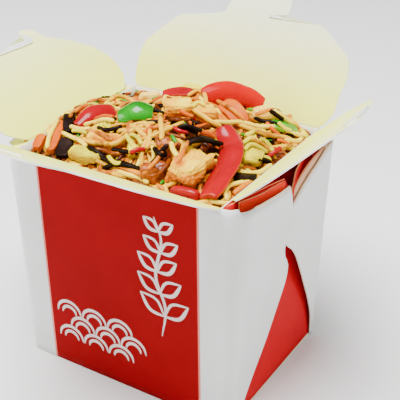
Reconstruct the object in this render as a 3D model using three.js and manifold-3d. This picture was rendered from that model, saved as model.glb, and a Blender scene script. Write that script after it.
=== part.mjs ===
// Noodle takeaway box: an open, tapered paperboard carton with four closure flaps,
// heaped with stir-fried noodles, chicken and vegetables.
//
// Millimetres, +Z up. The origin is on the table under the middle of the carton's rim,
// the printed front panel faces -Y and the folded gussets are on the +X and -X sides.

import * as THREE from 'three';
import { mergeVertices } from 'three/addons/utils/BufferGeometryUtils.js';
import Module from 'manifold-3d';

const wasm = await Module();
wasm.setup();

// ---------------------------------------------------------------- driving dimensions

const HEIGHT = 100;          // table to the creases of the flaps
const BOARD = 0.6;           // paperboard
const FLOOR = 0.8;           // base panel with its glued layer
const JOIN = 0.1;            // how far joined layers run into each other
const RIM_GAP = 0.4;         // crease clearance between a wall's top and its flap

const BASE_HALF_WIDTH = 51;  // outer faces, X
const RIM_HALF_WIDTH = 55.5;
const BASE_HALF_DEPTH = 39.25; // outer faces, Y
const RIM_HALF_DEPTH = 40.5;
const BASE_SETBACK = 1.75;   // how far the base's middle stands behind the rim's
const BASE_CORNER = 4;       // radius of the wrapped vertical corners
const RIM_CORNER = 8.5;
const SIDE_BASE = 50;        // outer face of a side panel, which leans in towards the rim
const SIDE_RIM = 46.5;

const WEB_TIP_TOP = 92.5;    // top of the front gusset's tip
const WEB_TIP_BOTTOM = 84;
const WEB_CORNER_TOP = 98.4; // the gusset's top edge where it leaves the corner
const BACK_TIP = 82.5;       // top of the back gusset's tip
const BACK_WEB_TOP = 86;     // the back gusset's edge falls further before its tip
const INNER_WEB_TOP = 98.8;  // the inner layers stand a little higher
const BACK_INNER_TOP = 98.6;

const FLAP_REACH = 41;       // crease to shoulder
const HINGE_OUT = 0.35;      // crease axis, out from the wall's outer face
const HINGE_DROP = 0.2;      // crease axis below HEIGHT
const FLAP_START = 0.45;     // crease axis to the flap's edge
const BACK_ANGLE = 62;       // flap angles above the horizontal
const FRONT_ANGLE = 29;
const LEFT_ANGLE = 34;
const RIGHT_ANGLE = 41;

const FOOD_GAP = 0.3;        // food to board
const FOOD_ROOM = 0.55;      // how much a topping is swelled to cut room for it in its neighbours
const FOOD_TUCK = 1.6;       // food stands off the side panels this much more at the base
const FOOD_RIM = 96.5;       // level of the noodles along the front wall
const FOOD_CROWN = 14.5;     // how far the heap rises above that
const NOODLE_RADIUS = 1.2;
const NOODLE_COUNT = 15;
const NOODLE_SIDES = 5;
const NOODLE_STEP = 4;       // length of one piece of a noodle's route
const SPREAD_X = 0.75488;    // shares of the heap between one noodle's start and the next's
const SPREAD_Y = 0.56984;

// ---------------------------------------------------------------- small tools

const lerp = THREE.MathUtils.lerp;
const smooth = (low, high, x) => THREE.MathUtils.smoothstep(x, low, high);
const radians = THREE.MathUtils.degToRad;

function seededRandom(seed) {
  let state = seed;
  return () => {
    state = (state + 0x6d2b79f5) | 0;
    let t = Math.imul(state ^ (state >>> 15), 1 | state);
    t = (t + Math.imul(t ^ (t >>> 7), 61 | t)) ^ t;
    return ((t ^ (t >>> 14)) >>> 0) / 4294967296;
  };
}

function weld(geometry) {
  const welded = geometry.clone();
  welded.deleteAttribute('normal');
  welded.deleteAttribute('uv');
  return mergeVertices(welded, 1e-4);
}

function signedVolume(position, index) {
  const [a, b, c] = [new THREE.Vector3(), new THREE.Vector3(), new THREE.Vector3()];
  let volume = 0;
  for (let i = 0; i < index.length; i += 3) {
    a.fromBufferAttribute(position, index[i]);
    b.fromBufferAttribute(position, index[i + 1]);
    c.fromBufferAttribute(position, index[i + 2]);
    volume += a.dot(b.cross(c)) / 6;
  }
  return volume;
}

// A closed geometry as a solid, whichever way round its faces were listed.
function solidOf(geometry) {
  const welded = weld(geometry);
  const triVerts = Uint32Array.from(welded.index.array);
  if (signedVolume(welded.attributes.position, triVerts) < 0) triVerts.reverse();
  const vertProperties = Float32Array.from(welded.attributes.position.array);
  return new wasm.Manifold(new wasm.Mesh({ numProp: 3, vertProperties, triVerts }));
}

function geometryOf(solid) {
  const mesh = solid.getMesh();
  const geometry = new THREE.BufferGeometry();
  geometry.setAttribute('position', new THREE.BufferAttribute(mesh.vertProperties, 3));
  geometry.setIndex(new THREE.BufferAttribute(mesh.triVerts, 1));
  return geometry;
}

// Moves every vertex of a geometry to place(x, y, z), a Vector3.
function sculpt(geometry, place) {
  const position = geometry.attributes.position;
  for (let i = 0; i < position.count; i += 1) {
    const to = place(position.getX(i), position.getY(i), position.getZ(i));
    position.setXYZ(i, to.x, to.y, to.z);
  }
  return geometry;
}

// A slab made from a unit box: column and row count along it, side is -0.5 or 0.5.
function slab(columns, rows, place) {
  const unit = new THREE.BoxGeometry(1, 1, 1, columns, rows, 1);
  return sculpt(unit, (x, y, z) => place(Math.round((x + 0.5) * columns), y + 0.5, z));
}

function union(solids) {
  return solids.reduce((whole, solid) => whole.add(solid));
}

// The same shape, fatter by gap all round, to cut room for a neighbour.
function grown(geometry, gap) {
  const welded = weld(geometry);
  welded.computeVertexNormals();
  const normal = welded.attributes.normal;
  const position = welded.attributes.position;
  for (let i = 0; i < position.count; i += 1) {
    position.setXYZ(
      i,
      position.getX(i) + gap * normal.getX(i),
      position.getY(i) + gap * normal.getY(i),
      position.getZ(i) + gap * normal.getZ(i),
    );
  }
  return solidOf(welded);
}

// The carton leans: at each level it stands a little further back than at its rim.
function leaned(solid) {
  const lean = BASE_SETBACK / HEIGHT;
  return solid.transform([1, 0, 0, 0, 0, 1, 0, 0, 0, -lean, 1, 0, 0, BASE_SETBACK, 0, 1]);
}

function largestPiece(solid) {
  const pieces = solid.decompose();
  return pieces.reduce((best, piece) => (piece.volume() > best.volume() ? piece : best));
}

// ---------------------------------------------------------------- materials

const finish = (color, roughness) => new THREE.MeshStandardMaterial({ color, roughness, metalness: 0 });

const MATERIALS = {
  board: finish(0xe6e5dd, 0.55),
  noodle: finish(0xd9a552, 0.45),
  chicken: finish(0xe2b46a, 0.5),
  meat: finish(0x9c4c20, 0.5),
  redPepper: finish(0xd8202a, 0.3),
  greenPepper: finish(0x2fa23c, 0.3),
  onion: finish(0xefe2bd, 0.4),
  carrot: finish(0xe8862c, 0.4),
  mushroom: finish(0x2a1a14, 0.45),
  cabbage: finish(0xbdc93a, 0.45),
};

// ---------------------------------------------------------------- carton

const halfWidth = (z) => lerp(BASE_HALF_WIDTH, RIM_HALF_WIDTH, z / HEIGHT);
const halfDepth = (z) => lerp(BASE_HALF_DEPTH, RIM_HALF_DEPTH, z / HEIGHT);
const cornerRadius = (z) => lerp(BASE_CORNER, RIM_CORNER, z / HEIGHT);
const sideFace = (z) => lerp(SIDE_BASE, SIDE_RIM, z / HEIGHT);
const wallTop = HEIGHT - RIM_GAP;

// Where a gusset's outer layer folds back on itself: a curve of (height, Y) that climbs
// from the bottom corner to the tip half way along the side.
function foldLine(points) {
  const curve = new THREE.CatmullRomCurve3(points.map(([z, y]) => new THREE.Vector3(z, y, 0)));
  const samples = curve.getPoints(60);
  return (z) => {
    const next = samples.findIndex((sample) => sample.x >= z);
    if (next <= 0) return next === 0 ? samples[0].y : samples[samples.length - 1].y;
    const [a, b] = [samples[next - 1], samples[next]];
    return lerp(a.y, b.y, (z - a.x) / (b.x - a.x));
  };
}

const frontFold = foldLine([
  [0, -33.2], [14, -24], [28, -13], [42, -4], [50, 0.6], [57, 1.2], [66, -3.2], [84, 0.6],
]);
const backFold = foldLine([
  [0, 34], [12, 32.2], [23, 27.8], [38, 19.8], [54, 10.7], [62, 4.6], [69, -2.6], [84, -3],
]);

// One end of a wrapped panel, from the middle of the panel round the corner to the gusset's
// tip. Each entry gives the outer point, the inward direction and the top at that column.
const CORNER_STEPS = 4;
const WING_STEPS = 4;
const WALL_ROWS = 5;

function wing({ fold, tipTop, edgeTop, sink }) {
  const entries = [];
  for (let i = 0; i <= CORNER_STEPS; i += 1) {
    const angle = (i / CORNER_STEPS) * Math.PI / 2;
    entries.push({
      top: lerp(wallTop, WEB_CORNER_TOP, i / CORNER_STEPS),
      inward: new THREE.Vector3(-Math.sin(angle), Math.cos(angle), 0),
      at: (z) => new THREE.Vector3(
        halfWidth(z) - cornerRadius(z) * (1 - Math.sin(angle)),
        -halfDepth(z) + cornerRadius(z) * (1 - Math.cos(angle)),
        z,
      ),
    });
  }
  for (let i = 1; i <= WING_STEPS; i += 1) {
    const along = i === WING_STEPS ? 1 : (i / (WING_STEPS - 1)) * 0.92;
    entries.push({
      top: i === WING_STEPS ? tipTop : lerp(WEB_CORNER_TOP, edgeTop, along),
      inward: new THREE.Vector3(-1, 0, 0),
      at: (z) => new THREE.Vector3(
        halfWidth(z) - sink * along,
        lerp(-halfDepth(z) + cornerRadius(z), fold(z), along),
        z,
      ),
    });
  }
  return entries;
}

// The front panel, or the back panel once mirrored, with a wing round each corner.
function wrappedPanel(shape) {
  const right = wing(shape);
  const mirror = new THREE.Vector3(-1, 1, 1);
  const left = right.map((entry) => ({
    top: entry.top,
    inward: entry.inward.clone().multiply(mirror),
    at: (z) => entry.at(z).multiply(mirror),
  }));
  const columns = [...left.reverse(), ...right];
  return solidOf(slab(columns.length - 1, WALL_ROWS, (column, up, side) => {
    const { top, inward, at } = columns[column];
    return at(up * top).addScaledVector(inward, (0.5 - side) * BOARD);
  }));
}

// The inner layer of a gusset, from the fold back to the side panel's vertical edge.
function innerWeb(fold, tops) {
  const places = [0, 0.08, 0.16, 0.4, 0.7, 1];
  return slab(places.length - 1, WALL_ROWS, (column, up, side) => {
    const along = places[column];
    const z = lerp(FLOOR / 2, tops[column], up);
    const start = new THREE.Vector2(halfWidth(z) - BOARD, fold(z) - BOARD);
    const end = new THREE.Vector2(sideFace(z) - JOIN, -halfDepth(z) + BASE_CORNER);
    const across = end.clone().sub(start).rotateAround(new THREE.Vector2(), Math.PI / 2).normalize();
    const at = start.clone().lerp(end, along).addScaledVector(across, side * BOARD);
    return new THREE.Vector3(at.x, at.y, z);
  });
}

function sidePanel() {
  return slab(1, WALL_ROWS, (end, up, side) => {
    const z = lerp(FLOOR / 2, wallTop - JOIN, up);
    const past = Math.max(0, sideFace(z) - BOARD / 2 - halfWidth(z) + cornerRadius(z));
    const bend = cornerRadius(z) - BOARD / 2;
    const reach = halfDepth(z) - cornerRadius(z) + Math.sqrt(bend ** 2 - past ** 2);
    return new THREE.Vector3(sideFace(z) - (0.5 - side) * BOARD, (end - 0.5) * 2 * reach, z);
  });
}

function floorPanel() {
  const outline = new THREE.Shape();
  const [x, y, r] = [BASE_HALF_WIDTH - BOARD / 2, BASE_HALF_DEPTH - BOARD / 2, BASE_CORNER];
  outline.absarc(x - r, y - r, r, 0, Math.PI / 2);
  outline.absarc(r - x, y - r, r, Math.PI / 2, Math.PI);
  outline.absarc(r - x, r - y, r, Math.PI, Math.PI * 1.5);
  outline.absarc(x - r, r - y, r, Math.PI * 1.5, Math.PI * 2);
  return new THREE.ExtrudeGeometry(outline, {
    depth: FLOOR, bevelEnabled: false, curveSegments: CORNER_STEPS,
  });
}

function carton() {
  const [front, back] = [INNER_WEB_TOP, BACK_INNER_TOP];
  const frontInner = innerWeb(frontFold, [WEB_TIP_BOTTOM, 93, front - 0.4, front, front, front]);
  const backInner = innerWeb((z) => -backFold(z), [BACK_TIP, 92, back - 1.4, back, back, back]);
  const parts = [
    wrappedPanel({ fold: frontFold, tipTop: WEB_TIP_BOTTOM, edgeTop: WEB_TIP_TOP, sink: 0 }),
    wrappedPanel({
      fold: (z) => -backFold(z), tipTop: BACK_TIP, edgeTop: BACK_WEB_TOP, sink: BOARD / 2,
    }).mirror([0, 1, 0]),
    solidOf(floorPanel()),
  ];
  for (const side of [1, -1]) {
    const toSide = (geometry) => solidOf(geometry.clone().scale(side, 1, 1));
    parts.push(toSide(sidePanel()), toSide(frontInner), toSide(backInner.clone().scale(1, -1, 1)));
  }
  return leaned(largestPiece(union(parts)));
}

// ---------------------------------------------------------------- closure flaps

// Corners of the wide flaps, (x, reach) from crease to top on the right and from the tab's root
// to the crease on the left. The back flap is warped: its left shoulder lies lower.
const FRONT_FLAP = {
  right: [[51, 16], [51, 25], [36, 39]],
  slitEnd: [8, 42],
  left: [[-16, 41], [-36, 39], [-51, 25], [-51, 16]],
};
const BACK_FLAP = {
  right: [[51, 16], [52.4, 22], [50.8, 30], [36, 41.3]],
  slitEnd: [11, 41],
  left: [[-16, 38.4], [-32.8, 35.2], [-46.6, 21], [-48.2, 16]],
};

// Front and back: a wide flap with a hooked tab beside a slit.
function wideFlap({ right, slitEnd, left }) {
  const crease = RIM_HALF_WIDTH - RIM_CORNER;
  const [rightSide, ...rightCorners] = right;
  const [tabRoot, ...leftCorners] = left;
  const leftSide = leftCorners.at(-1);
  const [slitX, slitReach] = slitEnd;
  const outline = new THREE.Shape();
  outline.moveTo(-crease, FLAP_START);
  outline.lineTo(crease, FLAP_START);
  outline.quadraticCurveTo(rightSide[0], 6, ...rightSide);
  rightCorners.forEach((corner) => outline.lineTo(...corner));
  outline.lineTo(slitX, slitReach);
  outline.lineTo(slitX, slitReach + 1.2);
  outline.lineTo(20, FLAP_REACH + 2);
  outline.quadraticCurveTo(20, 53, 13, 54);
  outline.lineTo(-3, 54);
  outline.quadraticCurveTo(-8, 52, -9, FLAP_REACH + 4);
  outline.quadraticCurveTo(-10, tabRoot[1], ...tabRoot);
  leftCorners.forEach((corner) => outline.lineTo(...corner));
  outline.quadraticCurveTo(leftSide[0], 6, -crease, FLAP_START);
  return outline;
}

// Left and right: a rounded flap with a small hook on its edge.
function narrowFlap() {
  const crease = 33;
  const flare = 42;
  const outline = new THREE.Shape();
  outline.moveTo(-crease, FLAP_START);
  outline.lineTo(crease, FLAP_START);
  outline.quadraticCurveTo(flare, 8, flare, 18);
  outline.quadraticCurveTo(40, 27, 30, 33.5);
  outline.lineTo(18, 41.5);
  outline.lineTo(17, 46);
  outline.lineTo(10, 48);
  outline.lineTo(7.5, 45.5);
  outline.lineTo(12, 43);
  outline.quadraticCurveTo(12, 39.5, 7, 39.5);
  outline.lineTo(-14, 40);
  outline.lineTo(-30, 33.5);
  outline.quadraticCurveTo(-40, 27, -flare, 18);
  outline.quadraticCurveTo(-flare, 8, -crease, FLAP_START);
  return outline;
}

function flap(name, outline, wallFace, yaw, angle) {
  const geometry = new THREE.ExtrudeGeometry(outline, {
    depth: BOARD, bevelEnabled: false, curveSegments: 5,
  }).translate(0, 0, -BOARD / 2);
  const mesh = new THREE.Mesh(geometryOf(solidOf(geometry)), MATERIALS.board);
  mesh.name = name;
  mesh.position.set(0, wallFace + HINGE_OUT, HEIGHT - HINGE_DROP);
  mesh.rotation.x = radians(angle);
  const turned = new THREE.Group();
  turned.rotation.z = radians(yaw);
  turned.add(mesh);
  return turned;
}

// ---------------------------------------------------------------- heap of noodles

// The surface of the packed noodles: low along the front and right walls, high behind.
function heapTop(x, y) {
  const rise = smooth(-44, -14, y) * (1 - 0.4 * smooth(18, 42, y));
  const rightFall = smooth(8, 46, x) * (1 - 0.5 * smooth(5, 30, y) * (1 - smooth(32, 46, x)));
  const leftFall = smooth(6, 32, -x) * (0.5 + 0.35 * smooth(0, 34, y));
  const lumps = 0.7 * Math.sin(x * 0.31 + 1) * Math.cos(y * 0.37);
  return FOOD_RIM + FOOD_CROWN * rise * (1 - rightFall) * (1 - leftFall) + lumps;
}

function heapCore() {
  const low = FLOOR + FOOD_GAP;
  return slab(10, 8, (column, row, side) => {
    const u = column / 5 - 1;
    const v = row * 2 - 1;
    const reachX = (z) => sideFace(z) - BOARD - FOOD_GAP - FOOD_TUCK * (1 - z / HEIGHT);
    const reachY = (z) => halfDepth(z) - BOARD - FOOD_GAP;
    const z = side < 0 ? low : heapTop(u * reachX(HEIGHT), v * reachY(HEIGHT));
    const level = Math.min(z, HEIGHT);
    return new THREE.Vector3(u * reachX(level), v * reachY(level), z);
  });
}

// A noodle that wanders over the heap, turning gently, and stops before it meets a topping.
function noodleRoute(attempt, random, isFree) {
  const reach = { x: sideFace(HEIGHT) - 5, y: halfDepth(HEIGHT) - 4.5 };
  const points = [];
  let x = (((attempt * SPREAD_X) % 1) * 2 - 1) * reach.x;
  let y = (((attempt * SPREAD_Y) % 1) * 2 - 1) * reach.y;
  let heading = random() * Math.PI * 2;
  let turn = (random() - 0.5) * 0.7;
  const steps = 8 + Math.floor(random() * 5);
  for (let i = 0; i <= steps; i += 1) {
    const inside = Math.abs(x) < reach.x && Math.abs(y) < reach.y;
    if (!inside || !isFree(x, y)) break;
    const weave = 0.45 * Math.sin(i * 1.1 + turn * 9);
    points.push(new THREE.Vector3(x, y, heapTop(x, y) + 0.45 * NOODLE_RADIUS + weave));
    heading += turn + (random() - 0.5) * 0.35;
    turn += (random() - 0.5) * 0.25;
    turn = THREE.MathUtils.clamp(turn, -0.45, 0.45);
    x += Math.cos(heading) * NOODLE_STEP;
    y += Math.sin(heading) * NOODLE_STEP;
  }
  return points;
}

function noodle(points) {
  const section = new THREE.Shape(Array.from({ length: NOODLE_SIDES }, (_, i) => {
    const angle = (i / NOODLE_SIDES) * Math.PI * 2;
    return new THREE.Vector2(Math.cos(angle), Math.sin(angle)).multiplyScalar(NOODLE_RADIUS);
  }));
  return new THREE.ExtrudeGeometry(section, {
    steps: points.length - 1, bevelEnabled: false, extrudePath: new THREE.CatmullRomCurve3(points),
  });
}

// ---------------------------------------------------------------- toppings

// A strip of vegetable along a route over the heap. Each route entry is x, y and the
// height of the strip's middle above the heap. Roll turns it from flat towards on edge,
// cup bows it across, as a slice of pepper wall is, and start is the width it begins with.
function strip({ route, width, thick, cup = 0, roll = 0, steps = 8, start = 1 }) {
  const curve = new THREE.CatmullRomCurve3(
    route.map(([x, y, lift]) => new THREE.Vector3(x, y, heapTop(x, y) + lift)),
  );
  const frames = Array.from({ length: steps + 1 }, (_, i) => {
    const along = i / steps;
    const forward = curve.getTangentAt(along);
    const across = new THREE.Vector3(-forward.y, forward.x, 0).normalize();
    across.applyAxisAngle(forward, radians(roll));
    const up = new THREE.Vector3().crossVectors(forward, across);
    const taper = (1 - 0.35 * Math.abs(2 * along - 1) ** 4) * lerp(start, 1, Math.min(along * 1.6, 1));
    return { middle: curve.getPointAt(along), across, up, taper };
  });
  return slab(steps, 2, (column, row, side) => {
    const { middle, across, up, taper } = frames[column];
    const sideways = (row - 0.5) * width * taper;
    const bow = cup * taper * (0.5 - 4 * (row - 0.5) ** 2);
    return middle.clone().addScaledVector(across, sideways)
      .addScaledVector(up, bow + side * thick);
  });
}

// An uneven piece, rounded or with flatter sides as square grows, at its lift over the heap.
function lump({
  at, size, yaw = 0, tilt = 0, lift = 0, rough = 0.12, square = 0.45, detail = 1, seed = 1,
}) {
  const random = seededRandom(seed);
  const waves = Array.from({ length: 5 }, () => ({
    way: new THREE.Vector3(random() - 0.5, random() - 0.5, random() - 0.5).multiplyScalar(6),
    phase: random() * Math.PI * 2,
  }));
  const geometry = sculpt(new THREE.IcosahedronGeometry(1, detail), (x, y, z) => {
    const point = new THREE.Vector3(x, y, z);
    const swell = waves.reduce((sum, wave) => sum + Math.sin(point.dot(wave.way) + wave.phase), 0);
    const boxy = 1 / Math.max(Math.abs(x), Math.abs(y), Math.abs(z)) ** square;
    return point.multiplyScalar(boxy * (0.92 + rough * swell / 2));
  });
  geometry.scale(size[0] / 2, size[1] / 2, size[2] / 2);
  geometry.rotateX(radians(tilt)).rotateZ(radians(yaw));
  return geometry.translate(at[0], at[1], heapTop(at[0], at[1]) + lift);
}

// Listed from the top of the heap down: each piece makes room for those before it.
const TOPPINGS = [
  ['pepper_strip_long', 'redPepper', strip, {
    route: [[23, 0.5, 2.8], [28, -2.8, 3.6], [32, -8.2, 3.8], [34.6, -16, 3.8], [36.2, -24.4, 3.4],
      [37.6, -31, 3], [38.3, -35.6, 2.6]],
    width: 9, thick: 2.6, cup: 1.8, roll: 14, steps: 14,
  }],
  ['pepper_dome', 'redPepper', strip, {
    route: [[4.5, 16, 1.6], [10.5, 23, 3.6], [17, 28, 4], [24, 31.5, 2.4]],
    width: 8.5, thick: 2.6, cup: 1.8, roll: 52, steps: 10,
  }],
  ['pepper_wedge_left', 'redPepper', strip, {
    route: [[-32, -20, 1.8], [-30.3, -11, 3.2], [-28, -2.2, 2.6]],
    width: 9, thick: 2.6, cup: 2.4, roll: 22, start: 0.55,
  }],
  ['green_pepper', 'greenPepper', strip, {
    route: [[-15, -14.5, 1.8], [-9, -12, 3.2], [-3.5, -8.5, 2]],
    width: 8.5, thick: 2.6, cup: 2, roll: 24,
  }],
  ['mushroom_over_chicken', 'mushroom', strip, {
    route: [[19, -20, 3.8], [23.6, -13.1, 4.2], [27.4, -8.8, 3.4]], width: 3.2, thick: 1.8,
  }],
  ['chicken_large', 'chicken', lump, {
    at: [25, -25.5], size: [21, 13, 10], yaw: 96, tilt: 6, lift: 1.8, square: 0.7, detail: 2, seed: 11,
  }],
  ['chicken_middle', 'chicken', lump, {
    at: [3, 0.5], size: [13, 9, 8], yaw: 31, lift: 1, square: 0.7, detail: 2, seed: 23,
  }],
  ['chicken_behind', 'chicken', lump, {
    at: [12.5, 5], size: [9.5, 11, 7], yaw: 31, lift: 0.8, square: 0.6, detail: 2, seed: 31,
  }],
  ['carrot_under_dome', 'carrot', strip, {
    route: [[13.5, 17, 2], [19.5, 14.6, 2.6], [25.5, 12.6, 1.8]], width: 7.5, thick: 2.6, roll: 24,
  }],
  ['onion_left', 'onion', lump, {
    at: [-21.5, 16], size: [9, 6.5, 6], yaw: 35, lift: 1.8, rough: 0.08, seed: 5,
  }],
  ['onion_right', 'onion', lump, {
    at: [28.5, 24.5], size: [11.5, 7, 8], yaw: 38, lift: 1.4, rough: 0.08, seed: 8,
  }],
  ['pepper_sliver_back', 'redPepper', strip, {
    route: [[-13, 13, 2.2], [-7, 15, 2.6], [-0.5, 16.5, 2]], width: 4.6, thick: 2, roll: 24,
  }],
  ['green_sliver_right', 'greenPepper', strip, {
    route: [[34, 21.5, 2], [37.5, 26, 2.2], [40.5, 31, 1.6]], width: 6, thick: 2.2, roll: 20,
  }],
  ['cabbage_right', 'cabbage', lump, {
    at: [35.8, 1.8], size: [15.5, 10, 7], yaw: -62, lift: 1, rough: 0.2, detail: 2, seed: 42,
  }],
  ['cabbage_front', 'cabbage', lump, {
    at: [-17, -34.4], size: [17, 6.5, 6], yaw: 3, lift: 1.6, rough: 0.1, seed: 47,
  }],
  ['cabbage_middle', 'cabbage', lump, {
    at: [0.2, -27], size: [10.5, 5, 5], yaw: -50, lift: 1.2, rough: 0.14, seed: 49,
  }],
  ['cabbage_back', 'cabbage', lump, {
    at: [-4.5, 23.5], size: [9.5, 6, 5], yaw: 20, lift: 1, rough: 0.16, seed: 51,
  }],
  ['tomato_front', 'redPepper', lump, {
    at: [28.6, -35.8], size: [13.5, 5, 6], yaw: 6, lift: 1, rough: 0.06, seed: 3,
  }],
  ['carrot_left', 'carrot', strip, {
    route: [[-40.2, -20.5, 1.8], [-36.8, -28, 2.4], [-33.4, -36, 2]], width: 4.8, thick: 3,
  }],
  ['carrot_corner', 'carrot', strip, {
    route: [[-42.4, -29.5, 1.6], [-41, -33, 1.8], [-39.4, -36.8, 1.6]], width: 3.8, thick: 3,
  }],
  ['carrot_behind_pepper', 'carrot', strip, {
    route: [[-41.5, -10.5, 1.8], [-38.7, -7.2, 2], [-36, -3.5, 1.6]], width: 4.4, thick: 2.2,
  }],
  ['mushroom_left', 'mushroom', strip, {
    route: [[-40.6, -15.2, 1.8], [-37, -19.4, 2.2], [-33.2, -24.6, 1.8]], width: 4.2, thick: 2,
  }],
  ['mushroom_front', 'mushroom', strip, {
    route: [[-31, -28, 2], [-29, -32, 2.2], [-27.4, -36.6, 1.8]], width: 6, thick: 2.2,
  }],
  ['mushroom_sliver_front', 'mushroom', strip, {
    route: [[-6.5, -34.2, 1.8], [1, -34.8, 2.2], [7.4, -34, 1.8]], width: 3, thick: 2,
  }],
  ['mushroom_sliver_middle', 'mushroom', strip, {
    route: [[11.5, -14, 2], [14.5, -12, 2.2], [18, -9.5, 1.8]], width: 3, thick: 1.8,
  }],
  ['mushroom_right', 'mushroom', strip, {
    route: [[40.6, -18, 1.6], [41.2, -13.4, 2], [41.6, -8.6, 1.6]], width: 5.4, thick: 2.2,
  }],
  ['chicken_left', 'chicken', lump, {
    at: [-14, -26.4], size: [18, 7.5, 6], yaw: 2, lift: 1.4, rough: 0.1, square: 0.6, seed: 61,
  }],
  ['meat_front', 'meat', lump, {
    at: [14.2, -32.6], size: [12, 7, 7], yaw: 32, lift: 1.2, rough: 0.16, square: 0.6, seed: 67,
  }],
  ['meat_middle', 'meat', lump, {
    at: [11.6, -23.6], size: [9, 5.5, 5], yaw: -52, lift: 1.2, rough: 0.16, square: 0.6, seed: 69,
  }],
  ['meat_right', 'meat', lump, {
    at: [41.4, 11.5], size: [8, 6, 6], yaw: 40, lift: 1.2, rough: 0.14, square: 0.6, seed: 71,
  }],
];

function buildToppings() {
  const placed = [];
  for (const [name, kind, make, shape] of TOPPINGS) {
    const geometry = make(shape);
    let solid = solidOf(geometry);
    for (const above of placed) solid = solid.subtract(above.room);
    solid = largestPiece(solid);
    placed.push({ name, kind, solid, room: grown(geometry, FOOD_ROOM) });
  }
  return placed;
}

function buildHeap(toppings) {
  const random = seededRandom(2024);
  const taken = toppings.map(({ solid }) => {
    const { min, max } = solid.boundingBox();
    return { x: (min[0] + max[0]) / 2, y: (min[1] + max[1]) / 2, a: max[0] - min[0], b: max[1] - min[1] };
  });
  const isFree = (x, y) => taken.every(({ x: cx, y: cy, a, b }) =>
    ((x - cx) / (a * 0.42)) ** 2 + ((y - cy) / (b * 0.42)) ** 2 > 1);
  let heap = leaned(solidOf(heapCore()));
  let made = 0;
  for (let attempt = 1; made < NOODLE_COUNT; attempt += 1) {
    const points = noodleRoute(attempt, random, isFree);
    if (points.length >= 6) {
      heap = heap.add(solidOf(noodle(points)));
      made += 1;
    }
  }
  for (const { room } of toppings) heap = heap.subtract(room);
  return largestPiece(heap);
}

// ---------------------------------------------------------------- assembly

function meshOf(name, solid, material) {
  const mesh = new THREE.Mesh(geometryOf(solid), material);
  mesh.name = name;
  return mesh;
}

const box = new THREE.Group();
box.add(meshOf('carton', carton(), MATERIALS.board));
box.add(flap('flap_back', wideFlap(BACK_FLAP), RIM_HALF_DEPTH, 0, BACK_ANGLE));
box.add(flap('flap_front', wideFlap(FRONT_FLAP), RIM_HALF_DEPTH, 180, FRONT_ANGLE));
box.add(flap('flap_left', narrowFlap(), SIDE_RIM, 90, LEFT_ANGLE));
box.add(flap('flap_right', narrowFlap(), SIDE_RIM, -90, RIGHT_ANGLE));

const toppings = buildToppings();
box.add(meshOf('noodle_heap', buildHeap(toppings), MATERIALS.noodle));
for (const { name, kind, solid } of toppings) box.add(meshOf(name, solid, MATERIALS[kind]));

export default box;
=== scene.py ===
import math
import random

import bmesh
import bpy
from bpy.props import FloatProperty, FloatVectorProperty, IntProperty, PointerProperty
from mathutils import Matrix, Vector, noise
from mathutils.bvhtree import BVHTree


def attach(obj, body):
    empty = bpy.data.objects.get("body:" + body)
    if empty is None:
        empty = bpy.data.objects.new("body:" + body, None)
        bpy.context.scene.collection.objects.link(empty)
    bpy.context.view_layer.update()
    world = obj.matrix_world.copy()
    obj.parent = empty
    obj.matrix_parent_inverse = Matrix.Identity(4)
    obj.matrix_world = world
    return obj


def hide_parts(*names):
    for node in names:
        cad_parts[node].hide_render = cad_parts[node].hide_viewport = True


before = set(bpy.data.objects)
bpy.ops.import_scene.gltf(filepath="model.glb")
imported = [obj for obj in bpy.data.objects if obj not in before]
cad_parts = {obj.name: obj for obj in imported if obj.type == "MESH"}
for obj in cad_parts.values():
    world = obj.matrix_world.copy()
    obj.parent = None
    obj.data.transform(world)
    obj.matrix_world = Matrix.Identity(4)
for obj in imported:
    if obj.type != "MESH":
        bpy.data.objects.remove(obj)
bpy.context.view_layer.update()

bl_info = {
    "name": "Noodle Takeaway Box",
    "version": (1, 0, 0),
    "blender": (4, 5, 0),
    "location": "View3D > Sidebar > Noodle Box",
    "description": "Builds an open paperboard takeaway box heaped with stir-fried noodles",
    "category": "Add Mesh",
}

MM = 0.001
BODY = "box"

# Sizes of the carton, in millimetres, as its solids have them.
HEIGHT = 100.0
BOARD = 0.6
FLOOR = 0.8
WALL_TOP = 99.6
BASE_HALF_WIDTH, RIM_HALF_WIDTH = 51.0, 55.5
BASE_HALF_DEPTH, RIM_HALF_DEPTH = 39.25, 40.5
BASE_SETBACK = 1.75
BASE_CORNER, RIM_CORNER = 4.0, 8.5
SIDE_BASE, SIDE_RIM = 50.0, 46.5
INNER_WEB_TOP = 98.8
BACK_INNER_TOP = 98.6
PRINT_HALF = 36.5
BORDER = 0.9
WALL_BOW = 0.35
BOW_HALF_WIDTH = 46.0

# Folds of the gussets: (height, y) pairs up the side.
FRONT_FOLD = [(0, -33.2), (14, -24), (28, -13), (42, -4), (50, 0.6), (57, 1.2), (66, -3.2), (84, 0.6)]
BACK_FOLD = [(0, 34), (12, 32.2), (23, 27.8), (38, 19.8), (54, 10.7), (62, 4.6), (69, -2.6), (84, -3)]

# The crease lines stand a little outside the walls and below the rim.
HINGE_OUT = 0.35
HINGE_DROP = 0.2
CREASE_RADIUS = 0.34

# Heap of noodles: its level along the rim, and how far its middle stands above that.
FOOD_RIM = 96.5
FOOD_CROWN = 14.5

# The carton leans: at each level it stands a little further back than at its rim.
LEAN = Matrix(((1, 0, 0, 0), (0, 1, -BASE_SETBACK / HEIGHT, BASE_SETBACK), (0, 0, 1, 0), (0, 0, 0, 1)))


def lerp(a, b, t):
    return a + (b - a) * t


def smooth(low, high, x):
    t = min(max((x - low) / (high - low), 0.0), 1.0)
    return t * t * (3 - 2 * t)


def within(x, limit):
    return max(min(x, limit), -limit)


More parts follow.
